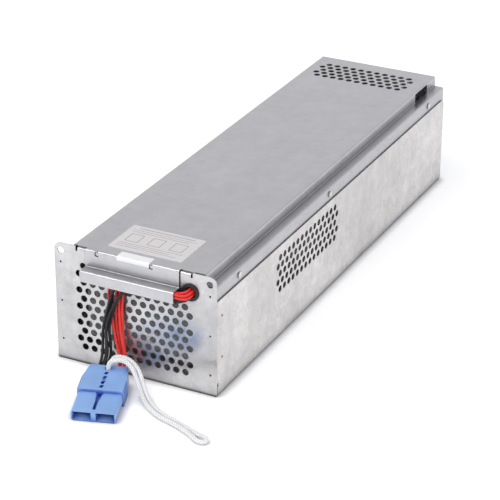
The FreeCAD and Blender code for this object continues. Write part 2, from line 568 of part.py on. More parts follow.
def connector_housing():
    """Moulded two-pole housing: open nose, ribbed grip, tapered tail with two wire bores."""
    half, high = NOSE_WIDTH / 2, NOSE_HEIGHT / 2
    nose = box((-half, half), (0, NOSE_LENGTH), (-high, high))
    nose = nose.makeFillet(NOSE_ROUND, [edge for edge in nose.Edges if edge.BoundBox.YLength > 1])
    grip_end = NOSE_LENGTH + GRIP_LENGTH
    wide, tail, tall = GRIP_WIDTH / 2, TAIL_WIDTH / 2, GRIP_HEIGHT / 2
    grip = prism([(-wide, NOSE_LENGTH), (wide, NOSE_LENGTH), (wide, grip_end), (tail, PLUG_LENGTH),
                  (-tail, PLUG_LENGTH), (-wide, grip_end)], "Z", -tall, tall)
    shape = nose.fuse(grip)
    for side in (-1, 1):
        for rib in range(RIBS):
            y = NOSE_LENGTH + RIB_PITCH * (rib + 0.5)
            shape = shape.cut(box((side * (wide - RIB_DEPTH), side * (wide + 1)), (y, y + RIB_PITCH / 2),
                                  (-tall - 1, tall + 1)))
        pole = side * POLE
        inner, outer = POLE - BORE / 2 - PLUG_GAP, POLE - BORE / 2 - PLUG_GAP + MOUTH_WIDTH
        shape = shape.cut(box((side * inner, side * outer), (-1, MOUTH_DEPTH),
                              (-MOUTH_HEIGHT / 2, MOUTH_HEIGHT / 2)))
        shape = shape.cut(ring_bar(BORE, pole, 0, BORE_START, PLUG_LENGTH + 1))
        play = SEAT / 2
        shape = shape.cut(box((pole - BLADE_WIDTH / 2 - play, pole + BLADE_WIDTH / 2 + play),
                              (MOUTH_DEPTH - 1, BORE_START + 1),
                              (-BLADE_SHEET / 2 - play, BLADE_SHEET / 2 + play)))
        floor = side * (high - GROOVE_DEPTH)
        groove = [(-GROOVE_WIDTH / 2, NOSE_LENGTH), (GROOVE_WIDTH / 2, NOSE_LENGTH), (0, GROOVE_NOSE)]
        shape = shape.cut(prism(groove, "Z", *sorted((floor, side * (high + 1)))))
    for pocket in range(POCKETS):
        y = FIRST_POCKET + pocket * POCKET_PITCH
        shape = shape.cut(box((-POCKET_WIDTH / 2, POCKET_WIDTH / 2), (y, y + POCKET_LENGTH),
                              (tall - GROOVE_DEPTH, tall + 1)))
    return shape.cut(flatted_bar(CORD_HOLE, "Z", 0, CORD_HOLE_Y, -tall - 1, tall + 1))


def contact(side):
    """Silvered contact: a barrel for the wires and a flat blade."""
    x = side * POLE
    barrel = ring_bar(BARREL, x, 0, BORE_START + SEAT, BARREL_END)
    blade = box((x - BLADE_WIDTH / 2, x + BLADE_WIDTH / 2), (BLADE_START, BORE_START + 1),
                (-BLADE_SHEET / 2, BLADE_SHEET / 2))
    return barrel.fuse(blade)


def contact_spring(side):
    """Leaf spring bowed between the mouth's floor and the blade."""
    foot = -MOUTH_HEIGHT / 2 + SPRING_SHEET
    crown = -BLADE_SHEET / 2 - SPRING_SHEET
    x = side * POLE
    return folded_sheet([(BLADE_START + 1, foot), (BLADE_START + SPRING_RISE, crown),
                         (MOUTH_DEPTH - 1, foot)],
                        "X", x - SPRING_WIDTH / 2, x + SPRING_WIDTH / 2, SPRING_SHEET, 2 * BEND)


os.makedirs("parts", exist_ok=True)

save("tray", tray())
save("front_plate", front_plate())
save("rear_panel", rear_panel())
save("hood", hood())
save("hood_rail_left", hood_rail(-1))
save("hood_rail_right", hood_rail(1))
save("rail_screws", screw_shanks().fuse(screw_heads()))
save("divider", divider())
save("block_guide_left", block_guide(-1))
save("block_guide_right", block_guide(1))
save("front_stop", front_stop())

liner = BLOCK_WIDTH / 2
divider_faces = (DIVIDER_Y - MIDDLE, DIVIDER_Y + MIDDLE)
save("liner_front", box((-liner, liner), (BAY_FRONT, divider_faces[0]), (SHEET, SHEET + LINER)))
save("liner_rear", box((-liner, liner), (divider_faces[1], BAY_REAR), (SHEET, SHEET + LINER)))

for number in range(BLOCKS):
    save("battery_%d" % (number + 1), block(number))
save("battery_terminals",
     Part.makeCompound([tab(side, number) for side in (-1, 1) for number in range(BLOCKS)]))
save("battery_links", Part.makeCompound([link(number) for number in range(0, BLOCKS, 2)]))

free_wires = {name: tube(name, routed(route), WIRE) for name, route in WIRE_ROUTES.items()}
for name, wire in free_wires.items():
    save(name, wire)

# The wires of each colour in the order of the blocks that they come from
reds = ["red_wire_2", "red_wire_1", "red_wire_4", "red_wire_3"]
blacks = ["black_wire_1", "black_wire_2", "black_wire_3", "black_wire_4"]
red_harness = Part.makeCompound(
    [harness_lead(2 * k, wire, RED_LEVEL) for k, wire in enumerate(reds)])
black_harness = Part.makeCompound(
    [harness_lead(2 * k + 1, wire, BLACK_LEVEL) for k, wire in enumerate(blacks)])
save("black_harness", black_harness)
save("red_harness", red_harness.cut(black_harness))

cover_top = LID_TOP + COVER[2]
save("hold_down_foam", box((FOAM_LEFT, FOAM_RIGHT), (BAY_FRONT, TOP_VENTS[1] - 4 * VENT_ROW),
                           (cover_top, HEIGHT - SHEET)))
foam_base = STOP_TOP + SEAT
save("front_foam", box(FRONT_FOAM[:2], (FRONT + SHEET + FOAM_SETBACK, BAY_FRONT - SEAT),
                       (foam_base, foam_base + FRONT_FOAM[2])))
save("rear_foam", box((-REAR_FOAM_WIDTH / 2, REAR_FOAM_WIDTH / 2), (BAY_REAR + SEAT, REAR - SHEET - SEAT),
                      (SHEET, SHEET + REAR_FOAM_HEIGHT)))

save("grommet", grommet())
housing = on_floor(connector_housing())
save("connector_housing", housing)
contacts = on_floor(Part.makeCompound([contact(-1), contact(1)]))
save("connector_contacts", contacts.cut(list(free_wires.values())))
save("contact_springs", on_floor(Part.makeCompound([contact_spring(-1), contact_spring(1)])))
save("pull_cord", tube("pull_cord", routed(CORD_ROUTE), CORD).cut(housing))
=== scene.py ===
import functools
import math

import bmesh
import bpy
from mathutils import Matrix, Vector


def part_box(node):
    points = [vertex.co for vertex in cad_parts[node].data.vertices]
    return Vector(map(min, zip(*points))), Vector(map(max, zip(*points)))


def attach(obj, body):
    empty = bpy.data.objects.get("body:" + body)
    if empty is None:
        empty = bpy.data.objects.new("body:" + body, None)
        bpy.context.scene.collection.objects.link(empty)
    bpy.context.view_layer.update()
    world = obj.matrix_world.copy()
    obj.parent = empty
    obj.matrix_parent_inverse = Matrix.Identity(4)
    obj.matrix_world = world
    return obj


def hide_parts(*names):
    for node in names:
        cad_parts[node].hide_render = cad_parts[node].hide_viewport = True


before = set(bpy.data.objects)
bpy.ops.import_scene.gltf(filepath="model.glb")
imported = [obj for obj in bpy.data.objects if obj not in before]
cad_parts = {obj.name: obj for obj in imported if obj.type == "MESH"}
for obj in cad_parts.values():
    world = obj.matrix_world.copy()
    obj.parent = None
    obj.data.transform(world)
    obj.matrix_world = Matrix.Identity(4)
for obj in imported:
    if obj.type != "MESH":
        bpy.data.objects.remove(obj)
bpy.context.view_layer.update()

mm = 0.001

# ---------------------------------------------------------------- camera
# A long lens to the right of the front plate and well above it, with a trace of roll, as a
# catalogue picture of a slide-in module is taken.

azimuth, elevation, roll = (math.radians(angle) for angle in (26.374, 26.237, 0.382))
lens = bpy.data.cameras.new("lens")
lens.sensor_width = 36.0
lens.lens = 143.606
camera = bpy.data.objects.new("camera", lens)
bpy.context.collection.objects.link(camera)
back = Vector((math.sin(azimuth) * math.cos(elevation), -math.cos(azimuth) * math.cos(elevation),
               math.sin(elevation)))
level = Vector((math.cos(azimuth), math.sin(azimuth), 0))
right = level * math.cos(roll) + back.cross(level) * math.sin(roll)
turn = Matrix((right, back.cross(right), back)).transposed().to_4x4()
standpoint = (0.84113, -1.73661, 0.96186)
camera.matrix_world = Matrix.Translation(standpoint) @ turn
bpy.context.scene.camera = camera

# ---------------------------------------------------------------- studio
# A white table in a bright, even room. A large soft key over the left shoulder and a fill on the
# right light the part but aren't mirrored in it, and a smaller glint lamp shows in reflections
# only, so that bare steel shows its folds and doesn't burn out.


def add_node(tree, kind, settings=None, **sockets):
    """A node with its settings, and each named socket given a value or another node's output."""
    made = tree.nodes.new(kind)
    for name, value in (settings or {}).items():
        setattr(made, name, value)
    for name, value in sockets.items():
        socket = next(s for s in made.inputs if name in (s.identifier, s.name.replace(" ", "_")))
        if isinstance(value, bpy.types.NodeSocket):
            tree.links.new(value, socket)
        else:
            socket.default_value = value
    return made


def new_material(name):
    """An empty material and its node tree."""
    material = bpy.data.materials.new(name)
    material.use_nodes = True
    material.node_tree.nodes.clear()
    return material, material.node_tree


def ranged(tree, value, low, high, source=(0, 1)):
    """A value carried from the source range to low..high."""
    return add_node(tree, "ShaderNodeMapRange", Value=value, From_Min=source[0],
                    From_Max=source[1], To_Min=low, To_Max=high).outputs[0]


def arithmetic(tree, operation, first, second):
    """One sum, product and so on of two values."""
    return add_node(tree, "ShaderNodeMath", {"operation": operation}, Value=first,
                    Value_001=second).outputs[0]


def openness(tree, reach, samples=6):
    """How open the surroundings are within reach, from 0 in a crease to 1 in the open."""
    return add_node(tree, "ShaderNodeAmbientOcclusion", {"samples": samples},
                    Distance=reach).outputs["AO"]


def seen_directly(tree):
    """1 where the camera, a mirror or glass looks at the surroundings."""
    path = add_node(tree, "ShaderNodeLightPath").outputs
    both = arithmetic(tree, "MAXIMUM", path["Is Camera Ray"], path["Is Glossy Ray"])
    return arithmetic(tree, "MAXIMUM", both, path["Is Transmission Ray"])


room = bpy.data.worlds.new("room")
bpy.context.scene.world = room
room.use_nodes = True
tree = room.node_tree
tree.nodes.clear()
ambient = add_node(tree, "ShaderNodeBackground", Color=(0.94, 0.96, 1.0, 1), Strength=0.47)
direction = add_node(tree, "ShaderNodeTexCoord").outputs["Generated"]
height = add_node(tree, "ShaderNodeSeparateXYZ", Vector=direction).outputs["Z"]
walls = add_node(tree, "ShaderNodeValToRGB", Fac=height)
for stop, (place, grey) in zip((0, 1), ((0.04, 0.98), (0.75, 0.50))):
    walls.color_ramp.elements[stop].position = place
    walls.color_ramp.elements[stop].color = (grey, grey, grey * 1.01, 1)
mirrored = add_node(tree, "ShaderNodeBackground", Color=walls.outputs["Color"], Strength=1.0)
white = add_node(tree, "ShaderNodeBackground", Color=(1, 1, 1, 1), Strength=1.0)
rays = add_node(tree, "ShaderNodeLightPath").outputs
inside = add_node(tree, "ShaderNodeMixShader", Fac=seen_directly(tree),
                  Shader=ambient.outputs[0], Shader_001=mirrored.outputs[0])
shown = add_node(tree, "ShaderNodeMixShader", Fac=rays["Is Camera Ray"],
                 Shader=inside.outputs[0], Shader_001=white.outputs[0])
add_node(tree, "ShaderNodeOutputWorld", Surface=shown.outputs[0])


def soft_lamp(name, place, target, size, watts, colour=(1, 1, 1)):
    """A square area lamp that faces its target."""
    light = bpy.data.lights.new(name, "AREA")
    light.size = size
    light.energy = watts
    light.color = colour
    lamp = bpy.data.objects.new(name, light)
    bpy.context.collection.objects.link(lamp)
    lamp.location = place
    lamp.rotation_euler = (Vector(target) - Vector(place)).to_track_quat("-Z", "Y").to_euler()
    return lamp


soft_lamp("key", (-1.0, -1.3, 2.2), (0, 0, 0), 2.8, 38, (1.0, 0.99, 0.97)).visible_glossy = False
soft_lamp("glint", (-0.9, -1.3, 2.2), (0, 0, 0), 1.0, 15).visible_diffuse = False
soft_lamp("fill", (1.4, -1.5, 1.1), (0, -0.1, 0.05), 1.9, 18).visible_glossy = False

table_mesh = bpy.data.meshes.new("table")
half_table = 6.0
table_mesh.from_pydata([(x * half_table, y * half_table, 0)
                        for x, y in ((-1, -1), (1, -1), (1, 1), (-1, 1))], [], [(0, 1, 2, 3)])
table = bpy.data.objects.new("table", table_mesh)
bpy.context.collection.objects.link(table)
table.location.z = -0.2 * mm
table_white, tree = new_material("table white")
paper = add_node(tree, "ShaderNodeBsdfDiffuse", Color=(0.93, 0.93, 0.935, 1))
place = add_node(tree, "ShaderNodeTexCoord").outputs["Object"]
away = add_node(tree, "ShaderNodeVectorMath", {"operation": "LENGTH"},
                Vector=place).outputs["Value"]
# The table's own glow grows away from the part and is weaker in mirrors. The weaker glow near
# the part, and none at the contact where ambient occlusion cuts it, paint a shadow round it.
near_glow, far_glow, glow_reach, mirrored_glow = 0.38, 0.9, (0.45, 2.0), 0.4
painted_contact_shadow_reach, painted_contact_shadow_range = 10 * mm, (0.62, 1.0)
watched = arithmetic(tree, "MULTIPLY", seen_directly(tree), mirrored_glow)
watched = arithmetic(tree, "MAXIMUM", watched,
                     add_node(tree, "ShaderNodeLightPath").outputs["Is Camera Ray"])
glow = arithmetic(tree, "MULTIPLY", watched, ranged(tree, away, near_glow, far_glow, glow_reach))
glow = arithmetic(tree, "MULTIPLY", glow,
                  ranged(tree, openness(tree, painted_contact_shadow_reach, 8), 0.0, 1.0, painted_contact_shadow_range))
lift = add_node(tree, "ShaderNodeEmission", Color=(1, 1, 1, 1), Strength=glow)
both = add_node(tree, "ShaderNodeAddShader", Shader=paper.outputs[0], Shader_001=lift.outputs[0])
add_node(tree, "ShaderNodeOutputMaterial", Surface=both.outputs[0])
table_mesh.materials.append(table_white)
bpy.context.scene.view_settings.view_transform = "Standard"

# ---------------------------------------------------------------- galvanised sheet
# Every metal piece of the case is hot-dip galvanised sheet: dull zinc with a faint spangle,
# soft rolling streaks along its length and a few paler handling marks. Shade is painted on it in
# creases and recesses and within about 3 mm of the table.


def object_point(tree, scale=(1, 1, 1)):
    """The point on the piece, in metres times the scale."""
    place = add_node(tree, "ShaderNodeTexCoord").outputs["Object"]
    return add_node(tree, "ShaderNodeMapping", Vector=place, Scale=scale).outputs[0]


def noise(tree, scale, detail, roughness=0.5, stretch=(1, 1, 1)):
    """Cloudy noise over the piece."""
    return add_node(tree, "ShaderNodeTexNoise", Vector=object_point(tree, stretch), Scale=scale,
                    Detail=detail, Roughness=roughness).outputs[0]


def mixed(tree, share, first, second, blend="MIX"):
    """The first colour carried towards the second by the share."""
    return add_node(tree, "ShaderNodeMix", {"data_type": "RGBA", "blend_type": blend},
                    Factor_Float=share, A_Color=first, B_Color=second).outputs["Result"]


def galvanised(name, tint, streaks, gloss, mottle, grit=0.16):
    """Zinc finish, with painted shade in creases and along the bottom edge: tint, streaks'
    direction as a scale, roughness, depth of mottling, and bump.
    """
    material, tree = new_material(name)
    middle = (0.3, 0.7)
    spangle = add_node(tree, "ShaderNodeTexVoronoi", Vector=object_point(tree), Scale=95.0)
    grain = add_node(tree, "ShaderNodeSeparateColor", Color=spangle.outputs["Color"]).outputs[0]
    cloud, streak = noise(tree, 16.0, 5.0, 0.6), noise(tree, 60.0, 3.0, stretch=streaks)
    speck, patch = noise(tree, 900.0, 2.0), noise(tree, 70.0, 6.0, 0.75)
    height = add_node(tree, "ShaderNodeSeparateXYZ", Vector=object_point(tree)).outputs["Z"]
    shade = ranged(tree, grain, 1 - mottle / 3, 1 + mottle / 5)
    for value, low, high, source in (
            (cloud, 1 - mottle, 1 + 0.7 * mottle, middle),
            (patch, 1 - 1.1 * mottle, 1 + 0.7 * mottle, middle),
            (streak, 1 - 0.4 * mottle, 1 + 0.3 * mottle, middle),
            # Painted shade: ambient occlusion darkens the zinc in creases and recesses, where shade
            # falls.
            (openness(tree, 14 * mm), 0.42, 1.0, (0.2, 0.95)),
            (openness(tree, 3 * mm), 0.35, 1.0, (0.3, 0.9)),
            # Painted shade: the zinc darkens within about 3 mm of the table, along the bottom edge.
            (height, 0.18, 1.0, (0.4 * mm, 3.2 * mm))):
        shade = arithmetic(tree, "MULTIPLY", shade, ranged(tree, value, low, high, source))
    colour = mixed(tree, 1.0, (*tint, 1), shade, "MULTIPLY")
    rough = arithmetic(tree, "ADD", ranged(tree, grain, -grit / 3, grit / 3),
                       ranged(tree, cloud, gloss - mottle / 2, gloss + mottle / 2, middle))
    relief = arithmetic(tree, "ADD", ranged(tree, grain, 0.0, 0.35), ranged(tree, speck, 0.0, 0.5))
    bump = add_node(tree, "ShaderNodeBump", Strength=grit, Distance=0.0004, Height=relief)
    zinc = add_node(tree, "ShaderNodeBsdfPrincipled", Base_Color=colour, Metallic=0.86,
                    Roughness=rough, Normal=bump.outputs[0])
    add_node(tree, "ShaderNodeOutputMaterial", Surface=zinc.outputs[0])
    return material


# The hood, the tray with the inner metalwork and the front plate are one galvanised sheet. Their
# three tints are painted shade and light: darker on the hood, lighter on the tray, between on the
# plate.
zinc_lengthways_painted_darker = galvanised("galvanised, rolled lengthways", (0.635, 0.63, 0.655), (1, 0.06, 1),
                             0.30, 0.06, 0.06)
zinc_crossways_painted_lighter = galvanised("galvanised, rolled crossways", (0.85, 0.825, 0.81), (1, 1, 0.08),
                            0.27, 0.13)
zinc_plate_painted_mid = galvanised("galvanised, front plate", (0.70, 0.69, 0.695), (1, 1, 0.08), 0.24, 0.14)

# ---------------------------------------------------------------- tray
# Floor and both walls of the case, folded from one 1.2 mm sheet, with flanges turned in behind
# the front plate. The right wall has a field of punched vents, both have two pin holes near the
# front, and the flanges have holes for the plate's rivets.

tray_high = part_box("tray")[1]
plate_low, plate_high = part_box("front_plate")
sheet = 1.2 * mm
bend = 0.8 * mm
side = tray_high.x
front, rear = plate_low.y, tray_high.y
top = plate_high.z
fold_steps = 8
wall_top = 100.6 * mm
seam_top, seam_gap, relief, relief_depth, slip = 12 * mm, 0.8 * mm, 2 * mm, 2.2 * mm, 0.01 * mm
flange, flange_top = 13 * mm, tray_high.z
rear_round, rear_bevel = 8 * mm, 3 * mm
vent, vent_pitch, vent_row, vent_sides = 7 * mm, 10 * mm, 8.75 * mm, 28
pin_radius, pin_in, pin_heights = 1.3 * mm, 11 * mm, (83 * mm, 39 * mm)
rivet_hole = 2.4 * mm
rivet_spots = [(x * mm, z * mm) for x in (-80.8, 80.8) for z in (106.0, 64.2, 22.2)]


def turned(vector, angle):
    """A flat vector turned to the left."""
    c, s = math.cos(angle), math.sin(angle)
    return Vector((vector.x * c - vector.y * s, vector.x * s + vector.y * c))


def circle(x, y, radius, sides):
    """Closed round outline."""
    return [Vector((x, y)) + turned(Vector((radius, 0)), 2 * math.pi * k / sides)
            for k in range(sides)]


def folded(points, thickness=sheet, inner=bend):
    """Closed outline of a strip of sheet whose middle line follows the points, with round folds."""
    path = [Vector(point) for point in points]
    runs = [(b - a).normalized() for a, b in zip(path, path[1:])]
    lefts = [turned(run, math.pi / 2) for run in runs]
    radius = inner + thickness / 2
    lines = []
    for offset in (thickness / 2, -thickness / 2):
        line = [path[0] + lefts[0] * offset]
        for corner, run, left, after in zip(path[1:], runs, lefts, runs[1:]):
            angle = math.atan2(run.cross(after), run.dot(after))
            inward = math.copysign(1, angle)
            centre = corner - run * radius * math.tan(abs(angle) / 2) + left * inward * radius
            arm = left * (offset - inward * radius)
            line += [centre + turned(arm, angle * k / fold_steps) for k in range(fold_steps + 1)]
        line.append(path[-1] + lefts[-1] * offset)
        lines.append(line)
    return lines[0] + lines[1][::-1]


def rounded(corners):
    """Closed outline; a corner given as (u, v, radius) is rounded."""
    outline = []
    for before, corner, after in zip(corners[-1:] + corners[:-1], corners,
                                     corners[1:] + corners[:1]):
        here = Vector(corner[:2])
        if len(corner) == 2:
            outline.append(here)
            continue
        run = (here - Vector(before[:2])).normalized()
        next_run = (Vector(after[:2]) - here).normalized()
        angle = math.atan2(run.cross(next_run), run.dot(next_run))
        inward = turned(run, math.copysign(math.pi / 2, angle))
        centre = here - run * corner[2] * math.tan(abs(angle) / 2) + inward * corner[2]
        outline += [centre + turned(-inward * corner[2], angle * k / fold_steps)
                    for k in range(fold_steps + 1)]
    return outline


def add_prism(mesh, outline, axis, start, stop):
    """Adds a straight-sided solid on a closed outline to the mesh."""
    order = {"X": lambda u, v, w: (w, u, v), "Y": lambda u, v, w: (u, w, v),
             "Z": lambda u, v, w: (u, v, w)}[axis]
    ends = [[mesh.verts.new(order(u, v, w)) for u, v in outline] for w in (start, stop)]
    mesh.faces.new(ends[0])
    mesh.faces.new(ends[1])
    for k in range(len(outline)):
        mesh.faces.new((ends[0][k - 1], ends[0][k], ends[1][k], ends[1][k - 1]))


def box_outline(u, v):
    """Four corners between the two ends given on each axis."""
    return [(u[0], v[0]), (u[1], v[0]), (u[1], v[1]), (u[0], v[1])]


def made_object(name, mesh, *materials):
    """An object from a bmesh, its faces turned outwards."""
    bmesh.ops.recalc_face_normals(mesh, faces=mesh.faces)
    data = bpy.data.meshes.new(name)
    mesh.to_mesh(data)
    mesh.free()
    for material in materials:
        data.materials.append(material)
    piece = bpy.data.objects.new(name, data)
    bpy.context.collection.objects.link(piece)
    return piece


def settled(piece):
    """Makes what the modifiers give the object's own mesh."""
    bpy.context.view_layer.update()
    graph = bpy.context.evaluated_depsgraph_get()
    data = bpy.data.meshes.new_from_object(piece.evaluated_get(graph))
    piece.modifiers.clear()
    piece.data = data
    return piece


def combined(piece, other, operation="DIFFERENCE"):
    """Cuts another solid out of the piece, or joins it on, and uses it up."""
    modifier = piece.modifiers.new("solid", "BOOLEAN")
    modifier.operation = operation
    modifier.solver = "EXACT"
    modifier.object = other
    settled(piece)
    bpy.data.objects.remove(other)
    return piece


def cut(piece, outline, axis, start, stop, lie=None):
    """Cuts one straight-sided solid, laid by a matrix if one is given, out of the piece."""
    cutter = bmesh.new()
    add_prism(cutter, outline, axis, start, stop)
    if lie:
        cutter.transform(lie)
    combined(piece, made_object("cutter", cutter))


def welded(piece, other):
    """Adds another object's mesh to the piece as it is."""
    with bpy.context.temp_override(active_object=piece, selected_editable_objects=[piece, other]):
        bpy.ops.object.join()


def fixed(piece, slot, *nodes, body="root"):
    """The piece stands for CAD nodes if any are named, and rides on the body; the slot is not used.
    """
    if nodes:
        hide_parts(*nodes)
    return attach(piece, body)


def new_group(name, sizes):
    """A geometry node tree with named inputs, and the outputs of its input node."""
    tree = bpy.data.node_groups.new(name, "GeometryNodeTree")
    tree.interface.new_socket("Geometry", in_out="INPUT", socket_type="NodeSocketGeometry")
    for label, kind in sizes.items():
        tree.interface.new_socket(label, in_out="INPUT", socket_type="NodeSocket" + kind)
    tree.interface.new_socket("Geometry", in_out="OUTPUT", socket_type="NodeSocketGeometry")
    return tree, tree.nodes.new("NodeGroupInput").outputs


def finished(tree, geometry, material):
    """Ends a tree in Realize Instances and Set Material."""
    real = add_node(tree, "GeometryNodeRealizeInstances", Geometry=geometry)
    painted = add_node(tree, "GeometryNodeSetMaterial", Geometry=real.outputs[0], Material=material)
    end = tree.nodes.new("NodeGroupOutput")
    tree.links.new(painted.outputs[0], end.inputs[0])


def grown(name, tree, points=((0, 0, 0),), **values):
    """A plain mesh object that the tree makes on the given points."""
    data = bpy.data.meshes.new(name)
    data.from_pydata(points, [], [])
    piece = bpy.data.objects.new(name, data)
    bpy.context.collection.objects.link(piece)
    modifier = piece.modifiers.new("grown", "NODES")
    modifier.node_group = tree
    for socket in tree.interface.items_tree:
        label = socket.name.replace(" ", "_")
        if label in values:
            modifier[socket.identifier] = values[label]
    return settled(piece)


# Staggered punches for a field of round vents
punches, given = new_group("vent field", {
    "Rows": "Int", "Vents in a row": "Int", "Pitch": "Float", "Row pitch": "Float",
    "Diameter": "Float", "Depth": "Float", "Middle": "Vector", "Turn": "Vector",
    "Clear of": "Vector", "Clear radius": "Float", "Material": "Material"})
figure = functools.partial(arithmetic, punches)
wide = figure("ADD", given["Vents in a row"], 1.0)
every = add_node(punches, "GeometryNodePoints", Count=figure("MULTIPLY", given["Rows"], wide))
number = add_node(punches, "GeometryNodeInputIndex").outputs[0]
row = figure("FLOOR", figure("DIVIDE", figure("ADD", number, 0.5), wide), 0.0)
place = figure("SUBTRACT", number, figure("MULTIPLY", row, wide))
filled = figure("ADD", given["Vents in a row"], figure("MODULO", row, 2.0))
half_row = figure("MULTIPLY", figure("SUBTRACT", filled, 1.0), 0.5)
half_field = figure("MULTIPLY", figure("SUBTRACT", given["Rows"], 1.0), 0.5)
across = figure("MULTIPLY", figure("SUBTRACT", place, half_row), given["Pitch"])
upward = figure("MULTIPLY", figure("SUBTRACT", row, half_field), given["Row pitch"])
flat_place = add_node(punches, "ShaderNodeCombineXYZ", X=across, Y=upward).outputs[0]
spread = add_node(punches, "GeometryNodeSetPosition", Geometry=every.outputs[0],
                  Position=flat_place)
spare = figure("GREATER_THAN", place, figure("SUBTRACT", filled, 0.5))
distance = add_node(punches, "ShaderNodeVectorMath", {"operation": "DISTANCE"}, Vector=flat_place,
                    Vector_001=given["Clear of"]).outputs["Value"]
near = figure("LESS_THAN", distance, given["Clear radius"])
kept = add_node(punches, "GeometryNodeDeleteGeometry", {"domain": "POINT"},
                Geometry=spread.outputs[0], Selection=figure("MAXIMUM", spare, near))
punch = add_node(punches, "GeometryNodeMeshCylinder", {"fill_type": "NGON"}, Vertices=vent_sides,
                 Radius=figure("MULTIPLY", given["Diameter"], 0.5), Depth=given["Depth"])
field = add_node(punches, "GeometryNodeInstanceOnPoints", Points=kept.outputs[0],
                 Instance=punch.outputs["Mesh"])
stood = add_node(punches, "GeometryNodeTransform", Geometry=field.outputs[0],
                 Translation=given["Middle"], Rotation=given["Turn"])
finished(punches, stood.outputs[0], given["Material"])


def vent_punches(name, rows, count, middle, turn, clear_of=(0, 0, 0), clear=0.0):
    """Cutter for one field of vents."""
    return grown(name, punches, Rows=rows, Vents_in_a_row=count, Pitch=vent_pitch,
                 Row_pitch=vent_row, Diameter=vent, Depth=8 * sheet, Middle=middle, Turn=turn,
                 Clear_of=clear_of, Clear_radius=clear, Material=zinc_crossways_painted_lighter)


half = side - sheet / 2
fold = sheet + bend
start = front + sheet
shell = bmesh.new()
add_prism(shell, folded([(-half, wall_top), (-half, sheet / 2), (half, sheet / 2),
                         (half, wall_top)]), "Y", start, rear)
tray = made_object("tray", shell, zinc_crossways_painted_lighter)
for z in pin_heights:
    cut(tray, circle(front + pin_in, z, pin_radius, 16), "X", -2 * side, 2 * side)
cutters = bmesh.new()
for hand in (-1, 1):
    inner, outer = hand * (side - sheet - bend), hand * (side + sheet)
    for seam, low, high in (((start - sheet, start + fold), seam_top, 2 * top),
                            ((start - 2 * sheet, start + seam_gap), fold, seam_top - relief - slip),
                            ((start - 2 * sheet, start + relief_depth), seam_top - relief,
                             seam_top - slip)):
        add_prism(cutters, box_outline((inner, outer), seam), "Z", low, high)
corner = (rear - rear_round, wall_top - rear_round)
quarter = circle(*corner, rear_round, 4 * fold_steps)[:fold_steps + 1]
outer = (rear + sheet, wall_top + sheet)
add_prism(cutters, [(outer[0], corner[1])] + quarter + [(corner[0], outer[1]), outer], "X",
          -2 * side, 2 * side)
add_prism(cutters, [(rear - rear_bevel, -sheet), (rear - rear_bevel, 0), (rear, rear_bevel),
                    (outer[0], rear_bevel), (outer[0], -sheet)], "X", -2 * side, 2 * side)
combined(tray, made_object("tray cutters", cutters))
side_field = (side, -83.9 * mm, 70.6 * mm)
combined(tray, vent_punches("side vents", 5, 14, side_field, (math.pi / 2, 0, math.pi / 2)))
flanges = bmesh.new()
for hand in (-1, 1):
    edge = hand * (side - flange)
    add_prism(flanges, folded([(hand * half, start + fold), (hand * half, start + sheet / 2),
                               (edge, start + sheet / 2)]), "Z", seam_top + relief, wall_top)
    add_prism(flanges, box_outline((edge, hand * (side - sheet - bend)), (start, start + sheet)),
              "Z", wall_top, flange_top)
flange_piece = made_object("flanges", flanges, zinc_crossways_painted_lighter)
rivet_holes = bmesh.new()
for x, z in rivet_spots:
    add_prism(rivet_holes, circle(x, z, rivet_hole / 2, 24), "Y", start - sheet, start + 3 * sheet)
combined(flange_piece, made_object("rivet holes", rivet_holes))
welded(tray, flange_piece)
fixed(tray, "galvanised_sheet", "tray")

# ---------------------------------------------------------------- front plate
# Flat plate with an ear hole at each upper corner, 133 round vents and the cable hole. Its upper
# edge is folded back between two notches and slit, and six rivets hold it to the tray's flanges.

foot_round, ear_round, ear_hole, ear_x, ear_z = 1.5 * mm, 7 * mm, 7 * mm, 80.5 * mm, 118 * mm
fold_left, fold_right, fold_depth = -61.8 * mm, 60.5 * mm, 11 * mm
notch = 5 * mm
grommet_x, grommet_z, grommet_flange, cable_hole = 60.1 * mm, 105.8 * mm, 18 * mm, 14.6 * mm
vents_x, vents_z = -1.0 * mm, 62.6 * mm
slit_half, slit_foot = 0.8 * mm, 120.8 * mm
corner_slit, corner_slit_foot = (48.8 * mm, 49.7 * mm), 110 * mm

plate_mesh = bmesh.new()
add_prism(plate_mesh, rounded([
    (-side, 0, foot_round), (side, 0, foot_round), (side, top, ear_round),
    (fold_right + relief, top),
    (fold_right + relief, top - notch), (fold_left - relief, top - notch),
    (fold_left - relief, top), (-side, top, ear_round)]), "Y", front, front + sheet)
plate = made_object("front_plate", plate_mesh, zinc_plate_painted_mid)
holes = bmesh.new()
for x, z, hole in [(-ear_x, ear_z, ear_hole), (ear_x, ear_z, ear_hole),
                   (grommet_x, grommet_z, cable_hole),
                   *((*spot, rivet_hole) for spot in rivet_spots)]:
    add_prism(holes, circle(x, z, hole / 2, 32), "Y", front - sheet, front + 3 * sheet)
combined(plate, made_object("plate holes", holes))
combined(plate, vent_punches(
    "front vents", 11, 12, (vents_x, front, vents_z), (math.pi / 2, 0, 0),
    clear_of=(grommet_x - vents_x, grommet_z - vents_z, 0), clear=(grommet_flange + vent) / 2))
fold_line = top - sheet * 1.5
strip = bmesh.new()
add_prism(strip, folded([(front + sheet / 2, top - notch), (front + sheet / 2, fold_line),
                         (front + fold_depth, fold_line)]), "X", fold_left, fold_right)
strip_piece = made_object("fold", strip, zinc_plate_painted_mid)
lance_x = (-41.2 * mm, 17.6 * mm)
for slit, foot in [((x - slit_half, x + slit_half), slit_foot) for x in lance_x] + [
        (corner_slit, corner_slit_foot)]:
    for piece in (plate, strip_piece):
        cut(piece, box_outline(slit, (front - sheet, front + 2.5 * sheet)), "Z", foot, 2 * top)
